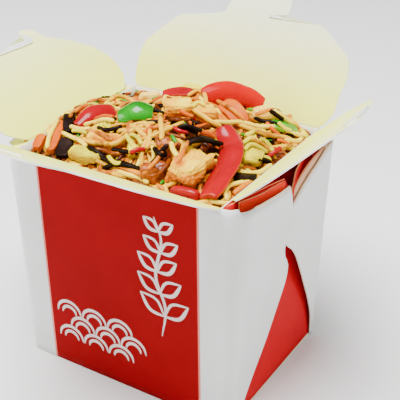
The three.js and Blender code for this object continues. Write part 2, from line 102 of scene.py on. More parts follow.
def half_width(z):
    return lerp(BASE_HALF_WIDTH, RIM_HALF_WIDTH, z / HEIGHT)


def half_depth(z):
    return lerp(BASE_HALF_DEPTH, RIM_HALF_DEPTH, z / HEIGHT)


def corner_radius(z):
    return lerp(BASE_CORNER, RIM_CORNER, z / HEIGHT)


def side_face(z):
    return lerp(SIDE_BASE, SIDE_RIM, z / HEIGHT)


def wall_bow(x, up):
    """How far the front and back walls swell, up from 0 to 1."""
    return WALL_BOW * math.sin(math.pi * up) * max(0, 1 - (x / BOW_HALF_WIDTH) ** 2)


def heap_top(x, y):
    """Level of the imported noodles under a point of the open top."""
    rise = smooth(-44, -14, y) * (1 - 0.4 * smooth(18, 42, y))
    right_fall = smooth(8, 46, x) * (1 - 0.5 * smooth(5, 30, y) * (1 - smooth(32, 46, x)))
    left_fall = smooth(6, 32, -x) * (0.5 + 0.35 * smooth(0, 34, y))
    lumps = 0.7 * math.sin(x * 0.31 + 1) * math.cos(y * 0.37)
    return FOOD_RIM + FOOD_CROWN * rise * (1 - right_fall) * (1 - left_fall) + lumps


def through(points, t):
    """Point at t, from 0 to 1, of a smooth curve through the given points."""
    points = [Vector(p) for p in points]
    ends = [2 * points[0] - points[1]] + points + [2 * points[-1] - points[-2]]
    span = min(int(t * (len(points) - 1)), len(points) - 2)
    u = t * (len(points) - 1) - span
    a, b, c, d = ends[span:span + 4]
    return 0.5 * ((2 * b) + (c - a) * u + (2 * a - 5 * b + 4 * c - d) * u ** 2
                  + (3 * b - a - 3 * c + d) * u ** 3)


def evenly(points, count):
    """count + 1 points at equal distances along the smooth curve through points."""
    fine = [through(points, i / 200) for i in range(201)]
    run = [0.0]
    for a, b in zip(fine, fine[1:]):
        run.append(run[-1] + (b - a).length)
    out, k = [], 0
    for i in range(count + 1):
        goal = run[-1] * i / count
        while k < 199 and run[k + 1] < goal:
            k += 1
        share = (goal - run[k]) / max(run[k + 1] - run[k], 1e-9)
        out.append(fine[k].lerp(fine[k + 1], min(share, 1.0)))
    return out


def fold_line(points):
    """Y of a gusset's fold at a height, from (height, y) pairs."""
    fine = [through([(z, y, 0) for z, y in points], i / 120) for i in range(121)]

    def at(z):
        for a, b in zip(fine, fine[1:]):
            if b.x >= z:
                return lerp(a.y, b.y, max(z - a.x, 0) / max(b.x - a.x, 1e-9))
        return fine[-1].y
    return at


front_fold = fold_line(FRONT_FOLD)
back_fold = fold_line(BACK_FOLD)


# ---------------------------------------------------------------- pieces

def finish_piece(name, bm, materials, body=BODY, replaces=(), slot=None, flat=False, leans=False):
    """Turns a bmesh in millimetres into a piece that rides on a body."""
    if leans:
        bm.transform(LEAN)
    bm.transform(Matrix.Scale(MM, 4))
    mesh = bpy.data.meshes.new(name)
    bm.to_mesh(mesh)
    bm.free()
    return place_mesh(name, mesh, materials, body, replaces, slot, flat)


def place_mesh(name, mesh, materials, body=BODY, replaces=(), slot=None, flat=False):
    """Links a finished mesh, and names its body and the nodes it replaces. Slot is not used."""
    piece = bpy.data.objects.new(name, mesh)
    bpy.context.scene.collection.objects.link(piece)
    for material in materials:
        mesh.materials.append(material)
    mesh.polygons.foreach_set("use_smooth", [not flat] * len(mesh.polygons))
    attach(piece, body)
    if replaces:
        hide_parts(*replaces)
    return piece


def sheet_mesh(columns, rows, place, paint=None):
    """A grid of faces whose points come from place(column, up), up from 0 to 1."""
    bm = bmesh.new()
    bmesh.ops.create_grid(bm, x_segments=columns, y_segments=rows, size=1.0)
    column_of = {}
    for v in bm.verts:
        column_of[v] = round((v.co.x + 1) / 2 * columns)
        v.co = place(column_of[v], round((v.co.y + 1) / 2 * rows) / rows)
    if paint:
        for face in bm.faces:
            face.material_index = paint(min(column_of[v] for v in face.verts))
    return bm


def face_outwards(bm, outward):
    """Turns the sheet over if most of it looks against the outward direction."""
    bm.normal_update()
    total = sum((f.normal * f.calc_area() for f in bm.faces), Vector())
    if total.dot(Vector(outward)) < 0:
        bmesh.ops.reverse_faces(bm, faces=bm.faces[:])
    return bm


LAST_MATERIAL = 10    # an offset past the last material is held to the last one


def add_board_thickness(piece, inside=LAST_MATERIAL):
    """Gives a sheet the board's thickness inwards; the new faces take a material further on."""
    solid = piece.modifiers.new("Board thickness", "SOLIDIFY")
    solid.thickness = BOARD * MM
    solid.offset = -1
    solid.use_even_offset = True
    solid.material_offset = inside
    solid.material_offset_rim = inside
    return piece


# ---------------------------------------------------------------- materials

class Shader:
    """A Principled material with a few helpers for patterns on Object coordinates."""

    def __init__(self, name, color, roughness):
        self.material = bpy.data.materials.new(name)
        self.material.use_nodes = True
        self.nodes = self.material.node_tree.nodes
        self.links = self.material.node_tree.links
        self.shader = self.nodes["Principled BSDF"]
        self.shader.inputs["Base Color"].default_value = (*color, 1)
        self.shader.inputs["Roughness"].default_value = roughness
        self.coords = self.nodes.new("ShaderNodeTexCoord").outputs["Object"]

    def set(self, **values):
        for key, value in values.items():
            self.shader.inputs[key.replace("_", " ").title().replace("Ior", "IOR")].default_value = value
        return self

    def noise(self, scale, detail=4.0, roughness=0.55, stretch=None, distortion=0.0):
        source = self.coords
        if stretch:
            mapping = self.nodes.new("ShaderNodeMapping")
            mapping.inputs["Scale"].default_value = stretch
            self.links.new(source, mapping.inputs["Vector"])
            source = mapping.outputs["Vector"]
        node = self.nodes.new("ShaderNodeTexNoise")
        node.inputs["Scale"].default_value = scale
        node.inputs["Detail"].default_value = detail
        node.inputs["Roughness"].default_value = roughness
        node.inputs["Distortion"].default_value = distortion
        self.links.new(source, node.inputs["Vector"])
        return node.outputs["Fac"]

    def ramp(self, value, stops):
        node = self.nodes.new("ShaderNodeValToRGB")
        elements = node.color_ramp.elements
        while len(elements) < len(stops):
            elements.new(0.5)
        for element, (position, color) in zip(elements, stops):
            element.position = position
            element.color = (*color, 1)
        self.links.new(value, node.inputs["Fac"])
        return node.outputs["Color"]

    def mix(self, factor, a, b):
        node = self.nodes.new("ShaderNodeMix")
        node.data_type = "RGBA"
        self.links.new(factor, node.inputs["Factor"])
        self.links.new(a, node.inputs["A"])
        self.links.new(b, node.inputs["B"])
        return node.outputs["Result"]

    def color(self, output):
        self.links.new(output, self.shader.inputs["Base Color"])
        return self

    def rough(self, value, low, high):
        node = self.nodes.new("ShaderNodeMapRange")
        node.inputs["To Min"].default_value = low
        node.inputs["To Max"].default_value = high
        self.links.new(value, node.inputs["Value"])
        self.links.new(node.outputs["Result"], self.shader.inputs["Roughness"])
        return self

    def bump(self, value, distance, strength=1.0):
        node = self.nodes.new("ShaderNodeBump")
        node.inputs["Distance"].default_value = distance
        node.inputs["Strength"].default_value = strength
        self.links.new(value, node.inputs["Height"])
        previous = self.shader.inputs["Normal"].links
        if previous:
            self.links.new(previous[0].from_socket, node.inputs["Normal"])
        self.links.new(node.outputs["Normal"], self.shader.inputs["Normal"])
        return self


def board_material(name, low, high, roughness, fibre=0.00004, shine=0.3, tint=None):
    """Paperboard: faint mottling, long fibres and a slightly uneven shine. Tint is the colour
    that the board takes on beside the food, fading upwards from the rim."""
    s = Shader(name, high, roughness)
    mottle = s.noise(60, 6)
    fibres = s.noise(900, 3, stretch=(1, 1, 0.25))
    tone = s.ramp(mottle, [(0.3, low), (0.7, high)])
    if tint:
        span = s.nodes.new("ShaderNodeMapRange")
        span.interpolation_type = "SMOOTHSTEP"
        for socket, value in (("From Min", HEIGHT * MM), ("From Max", HEIGHT * MM * 1.5),
                              ("To Min", 1), ("To Max", 0.12)):
            span.inputs[socket].default_value = value
        split = s.nodes.new("ShaderNodeSeparateXYZ")
        s.links.new(s.coords, split.inputs["Vector"])
        s.links.new(split.outputs["Z"], span.inputs["Value"])
        tinted = s.ramp(mottle, [(0.3, Vector(tint) * 0.97), (0.7, tint)])
        tone = s.mix(span.outputs["Result"], tone, tinted)
    s.color(tone)
    s.rough(mottle, roughness - 0.06, roughness + 0.08)
    s.shader.inputs["Specular IOR Level"].default_value = shine
    return s.bump(fibres, fibre).bump(s.noise(25, 2), 0.0006, 0.25).material


def food_material(name, stops, roughness, scale, grain, depth, wet, scatter,
                  radius=(0.004, 0.002, 0.001), stretch=None, shine=0.12, sauce=None):
    """Cooked food: patches of colour, a fine grain, and a coat of oil over it. Sauce is the
    colours that the piece takes on where its own attribute says that sauce clings."""
    s = Shader(name, stops[-1][1], roughness)
    patches = s.noise(scale, 5, distortion=0.6, stretch=stretch)
    fine = s.noise(scale * 5, 3, stretch=stretch)
    tone = s.ramp(patches, stops)
    if sauce:
        clings = s.nodes.new("ShaderNodeAttribute")
        clings.attribute_name = "sauce"
        tone = s.mix(clings.outputs["Fac"], tone, s.ramp(fine, sauce))
    s.color(tone)
    s.rough(fine, max(roughness - 0.12, 0.05), roughness + 0.12)
    s.set(coat_weight=wet, coat_roughness=0.12, subsurface_weight=scatter, subsurface_radius=radius,
          specular_ior_level=shine)
    s.shader.inputs["Subsurface Scale"].default_value = 1.0
    return s.bump(s.noise(grain, 4, stretch=stretch), depth).bump(patches, depth * 2, 0.5).material


def noodle_material(name, low, high, sauce, spread):
    """A boiled noodle stained by sauce in patches; spread from 0 to 1 is how much of it."""
    s = Shader(name, high, 0.3)
    stain = s.ramp(s.noise(55, 4, 0.6, distortion=0.8), [(0.62 - 0.3 * spread, (0, 0, 0)),
                                                        (0.74 - 0.3 * spread, (1, 1, 1))])
    tone = s.ramp(s.noise(160, 4), [(0.3, low), (0.7, high)])
    brown = s.ramp(s.noise(240, 4), [(0.3, Vector(sauce) * 0.45), (0.7, sauce)])
    s.color(s.mix(stain, tone, brown))
    s.rough(s.noise(400, 2), 0.2, 0.42)
    s.set(coat_weight=0.04, coat_roughness=0.15, subsurface_weight=0.06,
          subsurface_radius=(0.003, 0.0012, 0.0001), specular_ior_level=0.1)
    s.shader.inputs["Subsurface Scale"].default_value = 1.0
    return s.bump(s.noise(900, 3), 0.00006).material


# Boards: the colours of their mottling, darkest and lightest.
BOARDS = {
    "coated": dict(name="Coated white board", low=(0.70, 0.70, 0.69), high=(0.76, 0.76, 0.755),
                   roughness=0.4),
    "flap": dict(name="Flap board", low=(0.84, 0.85, 0.80), high=(0.90, 0.91, 0.86), roughness=0.5,
                 shine=0.15, tint=(0.91, 0.955, 0.14)),
    "edge": dict(name="Bare edge of a flap", low=(0.86, 0.84, 0.78), high=(0.92, 0.90, 0.85),
                 roughness=0.7, shine=0.1),
    "raw": dict(name="Raw inside board", low=(0.74, 0.70, 0.52), high=(0.84, 0.80, 0.62),
                roughness=0.7, fibre=0.00008, shine=0.1),
    # Print inside the gussets, about three times the front's red: painted light where the flaps shade it.
    "web": dict(name="Red print inside the gussets, painted light", low=(0.76, 0.028, 0.010), high=(0.88, 0.055, 0.016),
                roughness=0.5, shine=0.02),
    "bare": dict(name="Bare cut edge", low=(0.84, 0.62, 0.40), high=(0.90, 0.74, 0.52),
                 roughness=0.7, fibre=0.00008, shine=0.05),
    "border": dict(name="Print border", low=(0.70, 0.16, 0.12), high=(0.78, 0.24, 0.18),
                   roughness=0.5, shine=0.05),
    "cut": dict(name="Cut edge", low=(0.72, 0.20, 0.07), high=(0.84, 0.34, 0.14),
                roughness=0.7, fibre=0.00008, shine=0.05),
    "lining": dict(name="Lining board", low=(0.60, 0.30, 0.16), high=(0.74, 0.44, 0.26),
                   roughness=0.7, fibre=0.00008, shine=0.05),
    "ink": dict(name="White ink", low=(0.70, 0.58, 0.54), high=(0.78, 0.68, 0.64),
                roughness=0.5, shine=0.1),
}

# Noodles: their own colours, darkest and lightest, and how much sauce they took up.
NOODLES = {
    "noodle_cream": dict(name="Cream noodle", low=(0.82, 0.54, 0.015), high=(0.94, 0.74, 0.06),
                         sauce=(0.56, 0.20, 0.002), spread=0.12),
    "noodle_amber": dict(name="Amber noodle", low=(0.48, 0.10, 0.0), high=(0.76, 0.25, 0.001),
                         sauce=(0.20, 0.03, 0.001), spread=0.4),
    # Darker than the sauce alone: partly sauce, partly painted shade for strands deep in the heap.
    "noodle_sauced_and_shaded": dict(name="Sauced noodle with painted shade", low=(0.09, 0.013, 0.001), high=(0.32, 0.065, 0.002),
                          sauce=(0.05, 0.008, 0.001), spread=0.5),
}

# How far red, green and blue light travel in the flesh, in metres.
RED_SKIN = (0.004, 0.0005, 0.0003)
RED_FLESH = (0.004, 0.0006, 0.0003)
GREEN_FLESH = (0.001, 0.003, 0.001)

FOODS = {
    # Near-black: painted shade for the depths between the noodles.
    "core_painted_shade": dict(
        name="Noodle depths, painted shade", stops=[(0.3, (0.02, 0.004, 0.001)), (0.7, (0.07, 0.016, 0.003))],
        roughness=0.6, scale=120, grain=700, depth=0.0004, wet=0.0, scatter=0.0),
    "chicken": dict(
        name="Chicken", stops=[(0.3, (0.34, 0.06, 0.0)), (0.42, (0.66, 0.20, 0.001)),
                               (0.54, (0.84, 0.44, 0.002)), (0.72, (0.92, 0.66, 0.03))],
        roughness=0.45, scale=75, grain=700, depth=0.00025, wet=0.06, scatter=0.05, shine=0.06,
        sauce=[(0.3, (0.40, 0.06, 0.0)), (0.7, (0.74, 0.20, 0.0))]),
    "meat": dict(
        name="Browned meat", stops=[(0.3, (0.07, 0.01, 0.001)), (0.5, (0.30, 0.055, 0.003)),
                                    (0.75, (0.56, 0.16, 0.006))],
        roughness=0.4, scale=120, grain=700, depth=0.0003, wet=0.3, scatter=0.05),
    "pepper_orange": dict(
        name="Orange-red pepper skin", stops=[(0.3, (0.34, 0.0, 0.0)), (0.55, (0.43, 0.0, 0.0)),
                                              (0.8, (0.50, 0.008, 0.0))],
        roughness=0.35, scale=45, grain=500, depth=0.00006, wet=0.08, scatter=0.0, radius=RED_SKIN,
        shine=0.03),
    "pepper_red": dict(
        name="Red pepper skin", stops=[(0.3, (0.24, 0.0, 0.002)), (0.55, (0.34, 0.0, 0.006)),
                                       (0.8, (0.44, 0.003, 0.014))],
        roughness=0.28, scale=45, grain=500, depth=0.00006, wet=0.3, scatter=0.0, radius=RED_SKIN,
        shine=0.08),
    "pepper_red_flesh": dict(
        name="Red pepper flesh", stops=[(0.3, (0.34, 0.002, 0.002)), (0.75, (0.52, 0.04, 0.012))],
        roughness=0.35, scale=150, grain=800, depth=0.0001, wet=0.15, scatter=0.05, radius=RED_FLESH),
    "pepper_green": dict(
        name="Green pepper skin", stops=[(0.3, (0.0, 0.08, 0.001)), (0.6, (0.008, 0.23, 0.004)),
                                         (0.8, (0.05, 0.40, 0.02))],
        roughness=0.22, scale=90, grain=500, depth=0.00006, wet=0.5, scatter=0.06, radius=GREEN_FLESH),
    "pepper_green_flesh": dict(
        name="Green pepper flesh", stops=[(0.3, (0.05, 0.30, 0.006)), (0.75, (0.30, 0.56, 0.03))],
        roughness=0.32, scale=150, grain=800, depth=0.0001, wet=0.3, scatter=0.12, radius=GREEN_FLESH),
    "onion": dict(
        name="Onion", stops=[(0.3, (0.74, 0.40, 0.02)), (0.55, (0.90, 0.62, 0.10)),
                             (0.8, (0.94, 0.76, 0.24))],
        roughness=0.3, scale=70, grain=500, depth=0.00008, wet=0.15, scatter=0.05, stretch=(1, 1, 3),
        sauce=[(0.3, (0.66, 0.24, 0.004)), (0.7, (0.86, 0.44, 0.02))]),
    "carrot": dict(
        name="Carrot", stops=[(0.3, (0.40, 0.045, 0.0)), (0.55, (0.56, 0.095, 0.0)),
                              (0.8, (0.68, 0.19, 0.0))],
        roughness=0.4, scale=110, grain=600, depth=0.0001, wet=0.03, scatter=0.0, shine=0.05),
    "mushroom": dict(
        name="Mushroom", stops=[(0.35, (0.003, 0.001, 0.0005)), (0.6, (0.010, 0.003, 0.002)),
                                (0.8, (0.035, 0.011, 0.005))],
        roughness=0.45, scale=160, grain=700, depth=0.00015, wet=0.04, scatter=0.0, shine=0.05),
    "cabbage": dict(
        name="Cabbage", stops=[(0.3, (0.34, 0.25, 0.0)), (0.5, (0.62, 0.52, 0.0)),
                               (0.75, (0.90, 0.72, 0.0))],
        roughness=0.45, scale=110, grain=500, depth=0.0001, wet=0.04, scatter=0.0, shine=0.06,
        sauce=[(0.3, (0.26, 0.13, 0.0)), (0.7, (0.64, 0.34, 0.0))]),
    "herb": dict(
        name="Spring onion", stops=[(0.3, (0.004, 0.09, 0.003)), (0.6, (0.04, 0.28, 0.008)),
                                    (0.8, (0.24, 0.46, 0.02))],
        roughness=0.35, scale=200, grain=700, depth=0.00008, wet=0.25, scatter=0.1),
}

MATERIALS = {}


def make_materials(carton, food):
    red = Vector(carton.print_color)
    noodle = Vector(food.noodle_color)
    m = MATERIALS
    m.update((key, board_material(**look)) for key, look in BOARDS.items())
    m["print"] = board_material("Red print", red * 0.88, red, 0.5, shine=0.02)
    # The sides wear a copy of the red print about twice as bright: painted light on side panels and
    # gusset layers in shade.
    m["side_print"] = board_material("Red print of the sides, painted light", red * 1.7, red * 2.0, 0.5, shine=0.02)
    m["noodle_pale"] = noodle_material("Yellow noodle", noodle * 0.82, noodle, (0.40, 0.12, 0.002), 0.3)
    m.update((key, noodle_material(**look)) for key, look in NOODLES.items())
    m.update((key, food_material(**look)) for key, look in FOODS.items())


# ---------------------------------------------------------------- carton

# Top edge of a gusset's outer layer: (share of the way to its tip, height) pairs.
FRONT_EDGE = [(0, 98.4), (0.15, 97.3), (0.3, 96.6), (0.47, 95.7), (0.65, 95), (0.86, 94.6), (0.93, 91),
              (1, 83.6)]
BACK_EDGE = [(0, 98.4), (0.12, 97.2), (0.24, 95.4), (0.35, 93.6), (0.52, 91.5), (0.68, 88.8), (0.81, 86),
             (0.9, 84.2), (1, 82.4)]

# At each corner the board rises in a small lip, over these shares of the corner's turn.
LIP = 0.5
LIP_START, LIP_END = 0.2, 0.48
CORNER_TOP = 98.8

# Where a column of the wrapped panel stands for the paint: on past the printed field.
PAST_PRINT = 90

# The layer behind a gusset ends this far inside the side panel's face.
WEB_GAP = 0.1
SIDE_COLUMNS = 8


def edge_height(edge, share):
    """Height of a gusset's top edge at a share of the way to its tip."""
    for (a, low), (b, high) in zip(edge, edge[1:]):
        if share <= b:
            return lerp(low, high, (share - a) / (b - a))
    return edge[-1][1]


def wrap_columns(fold, edge, sink):
    """Columns of one half of a wrapped panel, from its middle round the corner to the tip."""
    columns = []
    flat = [0, 6, 12, 18, 24, 30, PRINT_HALF, PRINT_HALF + BORDER, 42]
    for x in flat:
        columns.append((x, WALL_TOP, lambda z, x=x: Vector((x, -half_depth(z), z))))
    steps = 20
    for i in range(steps + 1):
        turned = i / steps
        angle = turned * math.pi / 2

        def corner(z, angle=angle):
            r = corner_radius(z)
            return Vector((half_width(z) - r * (1 - math.sin(angle)),
                           -half_depth(z) + r * (1 - math.cos(angle)), z))
        lip = WALL_TOP + LIP * smooth(LIP_START, LIP_END, turned)
        top = lip if turned < LIP_END else lerp(CORNER_TOP, edge[0][1], turned)
        columns.append((PAST_PRINT, top, corner))
    shares = [0.08, 0.15, 0.3, 0.47, 0.6, 0.72, 0.82, 0.87, 0.9, 0.94, 0.97, 1]
    for share in shares:
        def web(z, share=share):
            start = -half_depth(z) + corner_radius(z)
            return Vector((half_width(z) - sink * share, lerp(start, fold(z), share), z))
        columns.append((PAST_PRINT, edge_height(edge, share), web))
    return columns


def wrapped_panel(name, columns, turn):
    """The front panel, or the back panel when turn is -1, with its two gusset wings."""
    left = [(-x, top, at, -1) for x, top, at in reversed(columns[1:])]
    both = left + [(x, top, at, 1) for x, top, at in columns]

    def place(column, up):
        _, top, at, side = both[column]
        z = up * top
        p = at(z)
        return Vector((p.x * side, (p.y - wall_bow(p.x, up)) * turn, p.z))

    def paint(column):
        middle = abs(both[column][0] + both[column + 1][0]) / 2
        if middle < PRINT_HALF:
            return 1
        return 2 if middle < PRINT_HALF + BORDER else 0

    bm = sheet_mesh(len(both) - 1, 28, place, paint)
    face_outwards(bm, (0, -turn, 0))
    materials = [MATERIALS[k] for k in ("coated", "print", "border", "raw")]
    piece = finish_piece(name, bm, materials, replaces=("carton",), slot="board", leans=True)
    return add_board_thickness(piece)


def inner_web(fold, tops, side, turn):
    """The layer behind a gusset, from its fold back to the side panel's edge."""
    places = [0, 0.04, 0.08, 0.12, 0.16, 0.28, 0.4, 0.55, 0.7, 0.85, 1]
    coarse = [0, 0.08, 0.16, 0.4, 0.7, 1]

    def top_at(share):
        for a, b, low, high in zip(coarse, coarse[1:], tops, tops[1:]):
            if share <= b:
                return lerp(low, high, (share - a) / (b - a))
        return tops[-1]

    def place(column, up):
        z = lerp(FLOOR / 2, top_at(places[column]), up)
        start = Vector((half_width(z) - BOARD, fold(z) - BOARD, z))
        end = Vector((side_face(z) - WEB_GAP, -half_depth(z) + BASE_CORNER, z))
        p = start.lerp(end, places[column])
        return Vector((p.x * side, p.y * turn, p.z))

    bm = sheet_mesh(len(places) - 1, 24, place)
    return face_outwards(bm, (side, 0, 0))


def build_carton_sides():
    """The inner layer of each gusset, and the side panels, in the red print brightened as painted light.
    """
    front_tops = [84, 93, INNER_WEB_TOP - 0.4, INNER_WEB_TOP, INNER_WEB_TOP, INNER_WEB_TOP]
    back_tops = [82.5, 92, BACK_INNER_TOP - 1.4, BACK_INNER_TOP, BACK_INNER_TOP, BACK_INNER_TOP]
    # Both the gusset layers and the side panels take the brightened print, painted light.
    materials = [MATERIALS["side_print"], MATERIALS["cut"]]
    for side, word in ((1, "right"), (-1, "left")):
        for fold, tops, turn, end in ((front_fold, front_tops, 1, "front"),
                                      (lambda z: -back_fold(z), back_tops, -1, "back")):
            bm = inner_web(fold, tops, side, turn)
            web = finish_piece(f"gusset_{word}_{end}", bm, materials, replaces=("carton",), slot="board",
                               leans=True)
            add_board_thickness(web)
            solid = web.modifiers[0]
            solid.offset, solid.material_offset, solid.material_offset_rim = 0, 0, 1

        def place(column, up, side=side):
            z = lerp(FLOOR / 2, WALL_TOP, up)
            past = max(0.0, side_face(z) - BOARD / 2 - half_width(z) + corner_radius(z))
            bend = corner_radius(z) - BOARD / 2
            reach = half_depth(z) - corner_radius(z) + math.sqrt(bend ** 2 - past ** 2)
            return Vector((side_face(z) * side, (column / SIDE_COLUMNS * 2 - 1) * reach, z))
        bm = sheet_mesh(SIDE_COLUMNS, 20, place)
        face_outwards(bm, (side, 0, 0))
        panel = finish_piece(f"side_panel_{word}", bm, [MATERIALS["side_print"], MATERIALS["raw"]],
                             replaces=("carton",), slot="board", leans=True)
        add_board_thickness(panel)


# The frayed cut of a gusset: the share of the way to its tip where it stops, and its radius.
CUT_END = 0.9
CUT_RADIUS = 0.5


def build_gusset_edges():
    """The frayed cut along the top of each gusset, bare board where the print stops."""
    for fold, edge, sink, turn, end in (
            (front_fold, FRONT_EDGE, 0, 1, "front"),
            (lambda z: -back_fold(z), BACK_EDGE, BOARD / 2, -1, "back")):
        for side, word in ((1, "right"), (-1, "left")):
            route = []
            for i in range(41):
                share = i / 40 * CUT_END
                z = edge_height(edge, share)
                start = -half_depth(z) + corner_radius(z)
                y = lerp(start, fold(z), share)
                x = half_width(z) - sink * share - BOARD / 2
                route.append(LEAN @ Vector((x * side, y * turn, z)))
            strands_piece(f"cut_edge_{word}_{end}", [(route, CUT_RADIUS, 0)], [MATERIALS["bare"]], (),
                          "board", 2)


# How far the bottom reaches past the side panels' faces, into the gussets' inner layer.
FLOOR_TUCK = 0.25


def build_floor_panel():
    """The bottom, its sides reaching under the gussets."""
    bm = bmesh.new()
    x, y = SIDE_BASE + FLOOR_TUCK, BASE_HALF_DEPTH - BOARD / 2
    bmesh.ops.create_cube(bm, size=2, matrix=Matrix.Diagonal((x, y, FLOOR / 2, 1)))
    bmesh.ops.translate(bm, verts=bm.verts[:], vec=(0, 0, FLOOR / 2))
    uprights = [e for e in bm.edges if abs(e.verts[0].co.z - e.verts[1].co.z) > FLOOR / 2]
    bmesh.ops.bevel(bm, geom=uprights, offset=BASE_CORNER, offset_type="OFFSET", segments=8,
                    profile=0.5, affect="EDGES", material=-1)
    finish_piece("floor_panel", bm, [MATERIALS["raw"]], replaces=("carton",), slot="board", flat=True,
                 leans=True)


# Top edges of the linings glued behind the right side's gussets: (x, y, z) points.
LININGS = {
    # The front linings wear the brightened gusset print, painted light.
    "front": (((49.6, -32.6, 99.4), (50.8, -27.4, 98.9), (52.1, -20.3, 98.2), (53.2, -12.6, 98.1),
               (54, -5.8, 97.6)), "web"),
    "back": (((53.83, 3, 90.6), (53.95, 7, 93.4), (54.07, 13.6, 96), (54.13, 20.6, 97.4),
              (54.17, 29, 98.3)), "lining"),
}
LINING_DROP = 11.0
LINING_STEPS = 24

# White board folded over inside each left corner: how far it reaches back, and its levels.
TUCKED_REACH = 20.0
TUCKED_INNER, TUCKED_OUTER = 99.2, 98.2
TUCKED_STEPS = 16


def build_linings():
    """A second layer of board behind each gusset, and the folds in the two left corners."""
    for side, word in ((1, "right"), (-1, "left")):
        for end, (top, face) in LININGS.items():
            route = evenly(top, LINING_STEPS)

            def place(column, up, side=side, route=route):
                down = LINING_DROP * (1 - up)
                x = route[column].x - down * (RIM_HALF_WIDTH - BASE_HALF_WIDTH) / HEIGHT
                return Vector((x * side, route[column].y, route[column].z - down))
            bm = face_outwards(sheet_mesh(LINING_STEPS, 8, place), (side, 0, 0))
            lining = finish_piece(f"lining_{word}_{end}", bm, [MATERIALS[face], MATERIALS["cut"]],
                                  slot="board")
            add_board_thickness(lining, 0)
            lining.modifiers[0].material_offset_rim = 1
    for end, turn in (("front", -1), ("back", 1)):
        def tucked(column, up, turn=turn):
            angle = column / TUCKED_STEPS * math.pi / 2
            r = RIM_CORNER - BOARD
            x = lerp(SIDE_RIM - BOARD, RIM_HALF_WIDTH - BOARD - r * (1 - math.cos(angle)), up)
            y = RIM_HALF_DEPTH - BOARD - r * (1 - math.sin(angle))
            if column == 0:
                y = RIM_HALF_DEPTH - TUCKED_REACH
            return Vector((-x, turn * y, lerp(TUCKED_INNER, TUCKED_OUTER, up)))
        bm = face_outwards(sheet_mesh(TUCKED_STEPS, 6, tucked), (0, 0, 1))
        finish_piece(f"tucked_corner_{end}", bm, [MATERIALS["flap"]], slot="board")


# Crease lines: the way out, the wall's face and half the line's length.
CREASES = {
    "flap_front": ((0, -1), RIM_HALF_DEPTH, 46.0),
    "flap_back": ((0, 1), RIM_HALF_DEPTH, 46.0),
    "flap_left": ((-1, 0), SIDE_RIM, 33.0),
    "flap_right": ((1, 0), SIDE_RIM, 33.0),
}


def build_creases():
    """Rounded bends of board along the hinge lines, between each wall and its flap."""
    for name, ((dx, dy), face, half) in CREASES.items():
        bm = bmesh.new()
        bmesh.ops.create_cone(bm, cap_ends=True, segments=16, radius1=CREASE_RADIUS,
                              radius2=CREASE_RADIUS, depth=2 * half)
        bm.transform(Matrix.Rotation(math.pi / 2, 4, "X" if dx else "Y"))
        out = face + HINGE_OUT
        bm.transform(Matrix.Translation((dx * out, dy * out, HEIGHT - HINGE_DROP)))
        finish_piece(name.replace("flap", "crease"), bm, [MATERIALS["flap"]], body=name, slot="board")


def corner_arc(points, radius, steps=6):
    """The closed outline through points with its corners rounded."""
    out = []
    for i, point in enumerate(points):
        here = Vector(point)
        back = Vector(points[i - 1]) - here
        ahead = Vector(points[(i + 1) % len(points)]) - here
        reach = min(radius, back.length * 0.45, ahead.length * 0.45)
        start, end = here + back.normalized() * reach, here + ahead.normalized() * reach
        for k in range(steps + 1):
            t = k / steps
            out.append(start * (1 - t) ** 2 + here * 2 * t * (1 - t) + end * t * t)
    return out


# Outlines of the flaps, (x, reach) from the crease, round to the right. The back flap is
# warped; its flat outline stands for that with a left shoulder lower than its right one.
FRONT_FLAP = [(-47, 0.45), (47, 0.45), (50.4, 7), (51, 16), (51, 25), (36, 39), (8, 42), (8, 43.2),
              (20, 43), (19, 52.5), (13, 54), (-3, 54), (-7.2, 51), (-9, 45), (-10.5, 41.6), (-16, 41),
              (-36, 39), (-51, 25), (-51, 16), (-50.4, 7)]
BACK_FLAP = [(-47, 0.45), (47, 0.45), (50.4, 7), (51, 16), (52.4, 22), (50.8, 30), (36, 41.3), (11, 41),
             (11, 42.2), (20, 43), (19, 52.5), (13, 54), (-3, 54), (-7.2, 51), (-9, 45), (-10.5, 39.6),
             (-16, 38.4), (-32.8, 35.2), (-46.6, 21), (-48.2, 16), (-48, 7)]
NARROW_FLAP = [(-33, 0.45), (33, 0.45), (39.5, 6), (42, 13), (42, 18), (39, 25.5), (30, 33.5),
               (18, 41.5), (17, 46), (10, 48), (7.5, 45.5), (12, 43), (11, 39.8), (7, 39.5), (-14, 40),
               (-30, 33.5), (-39, 25.5), (-42, 18), (-42, 13), (-39.5, 6)]
FLAP_CORNER = 2.2

# Each flap: its outline, its wall's face, its turn about the upright and its angle to the table.
FLAPS = {
    "flap_back": (BACK_FLAP, RIM_HALF_DEPTH, 0, 62),
    "flap_front": (FRONT_FLAP, RIM_HALF_DEPTH, 180, 29),
    "flap_left": (NARROW_FLAP, SIDE_RIM, 90, 34),
    "flap_right": (NARROW_FLAP, SIDE_RIM, -90, 41),
}


def build_flaps():
    """Closure flaps of board: printed side out, plain side in, with a bare cut edge."""
    for name, (outline, face, yaw, angle) in FLAPS.items():
        bm = bmesh.new()
        rim = [bm.verts.new((p.x, p.y, BOARD / 2)) for p in corner_arc(outline, FLAP_CORNER)]
        sheet = bm.faces.new(rim)
        if sheet.normal.z < 0:
            sheet.normal_flip()
        bmesh.ops.triangulate(bm, faces=[sheet])
        bmesh.ops.recalc_face_normals(bm, faces=bm.faces[:])
        face_outwards(bm, (0, 0, 1))
        bm.transform(Matrix.Rotation(math.radians(angle), 4, "X"))
        bm.transform(Matrix.Translation((0, face + HINGE_OUT, HEIGHT - HINGE_DROP)))
        bm.transform(Matrix.Rotation(math.radians(yaw), 4, "Z"))
        board = finish_piece(name + "_board", bm, [MATERIALS[k] for k in ("flap", "coated", "edge")],
                             body=name, replaces=(name,), slot="board", flat=True)
        add_board_thickness(board, 1)
        board.modifiers[0].material_offset_rim = 2


# ---------------------------------------------------------------- printed motif

INK_RISE = 0.07
STROKE_STEPS = 24


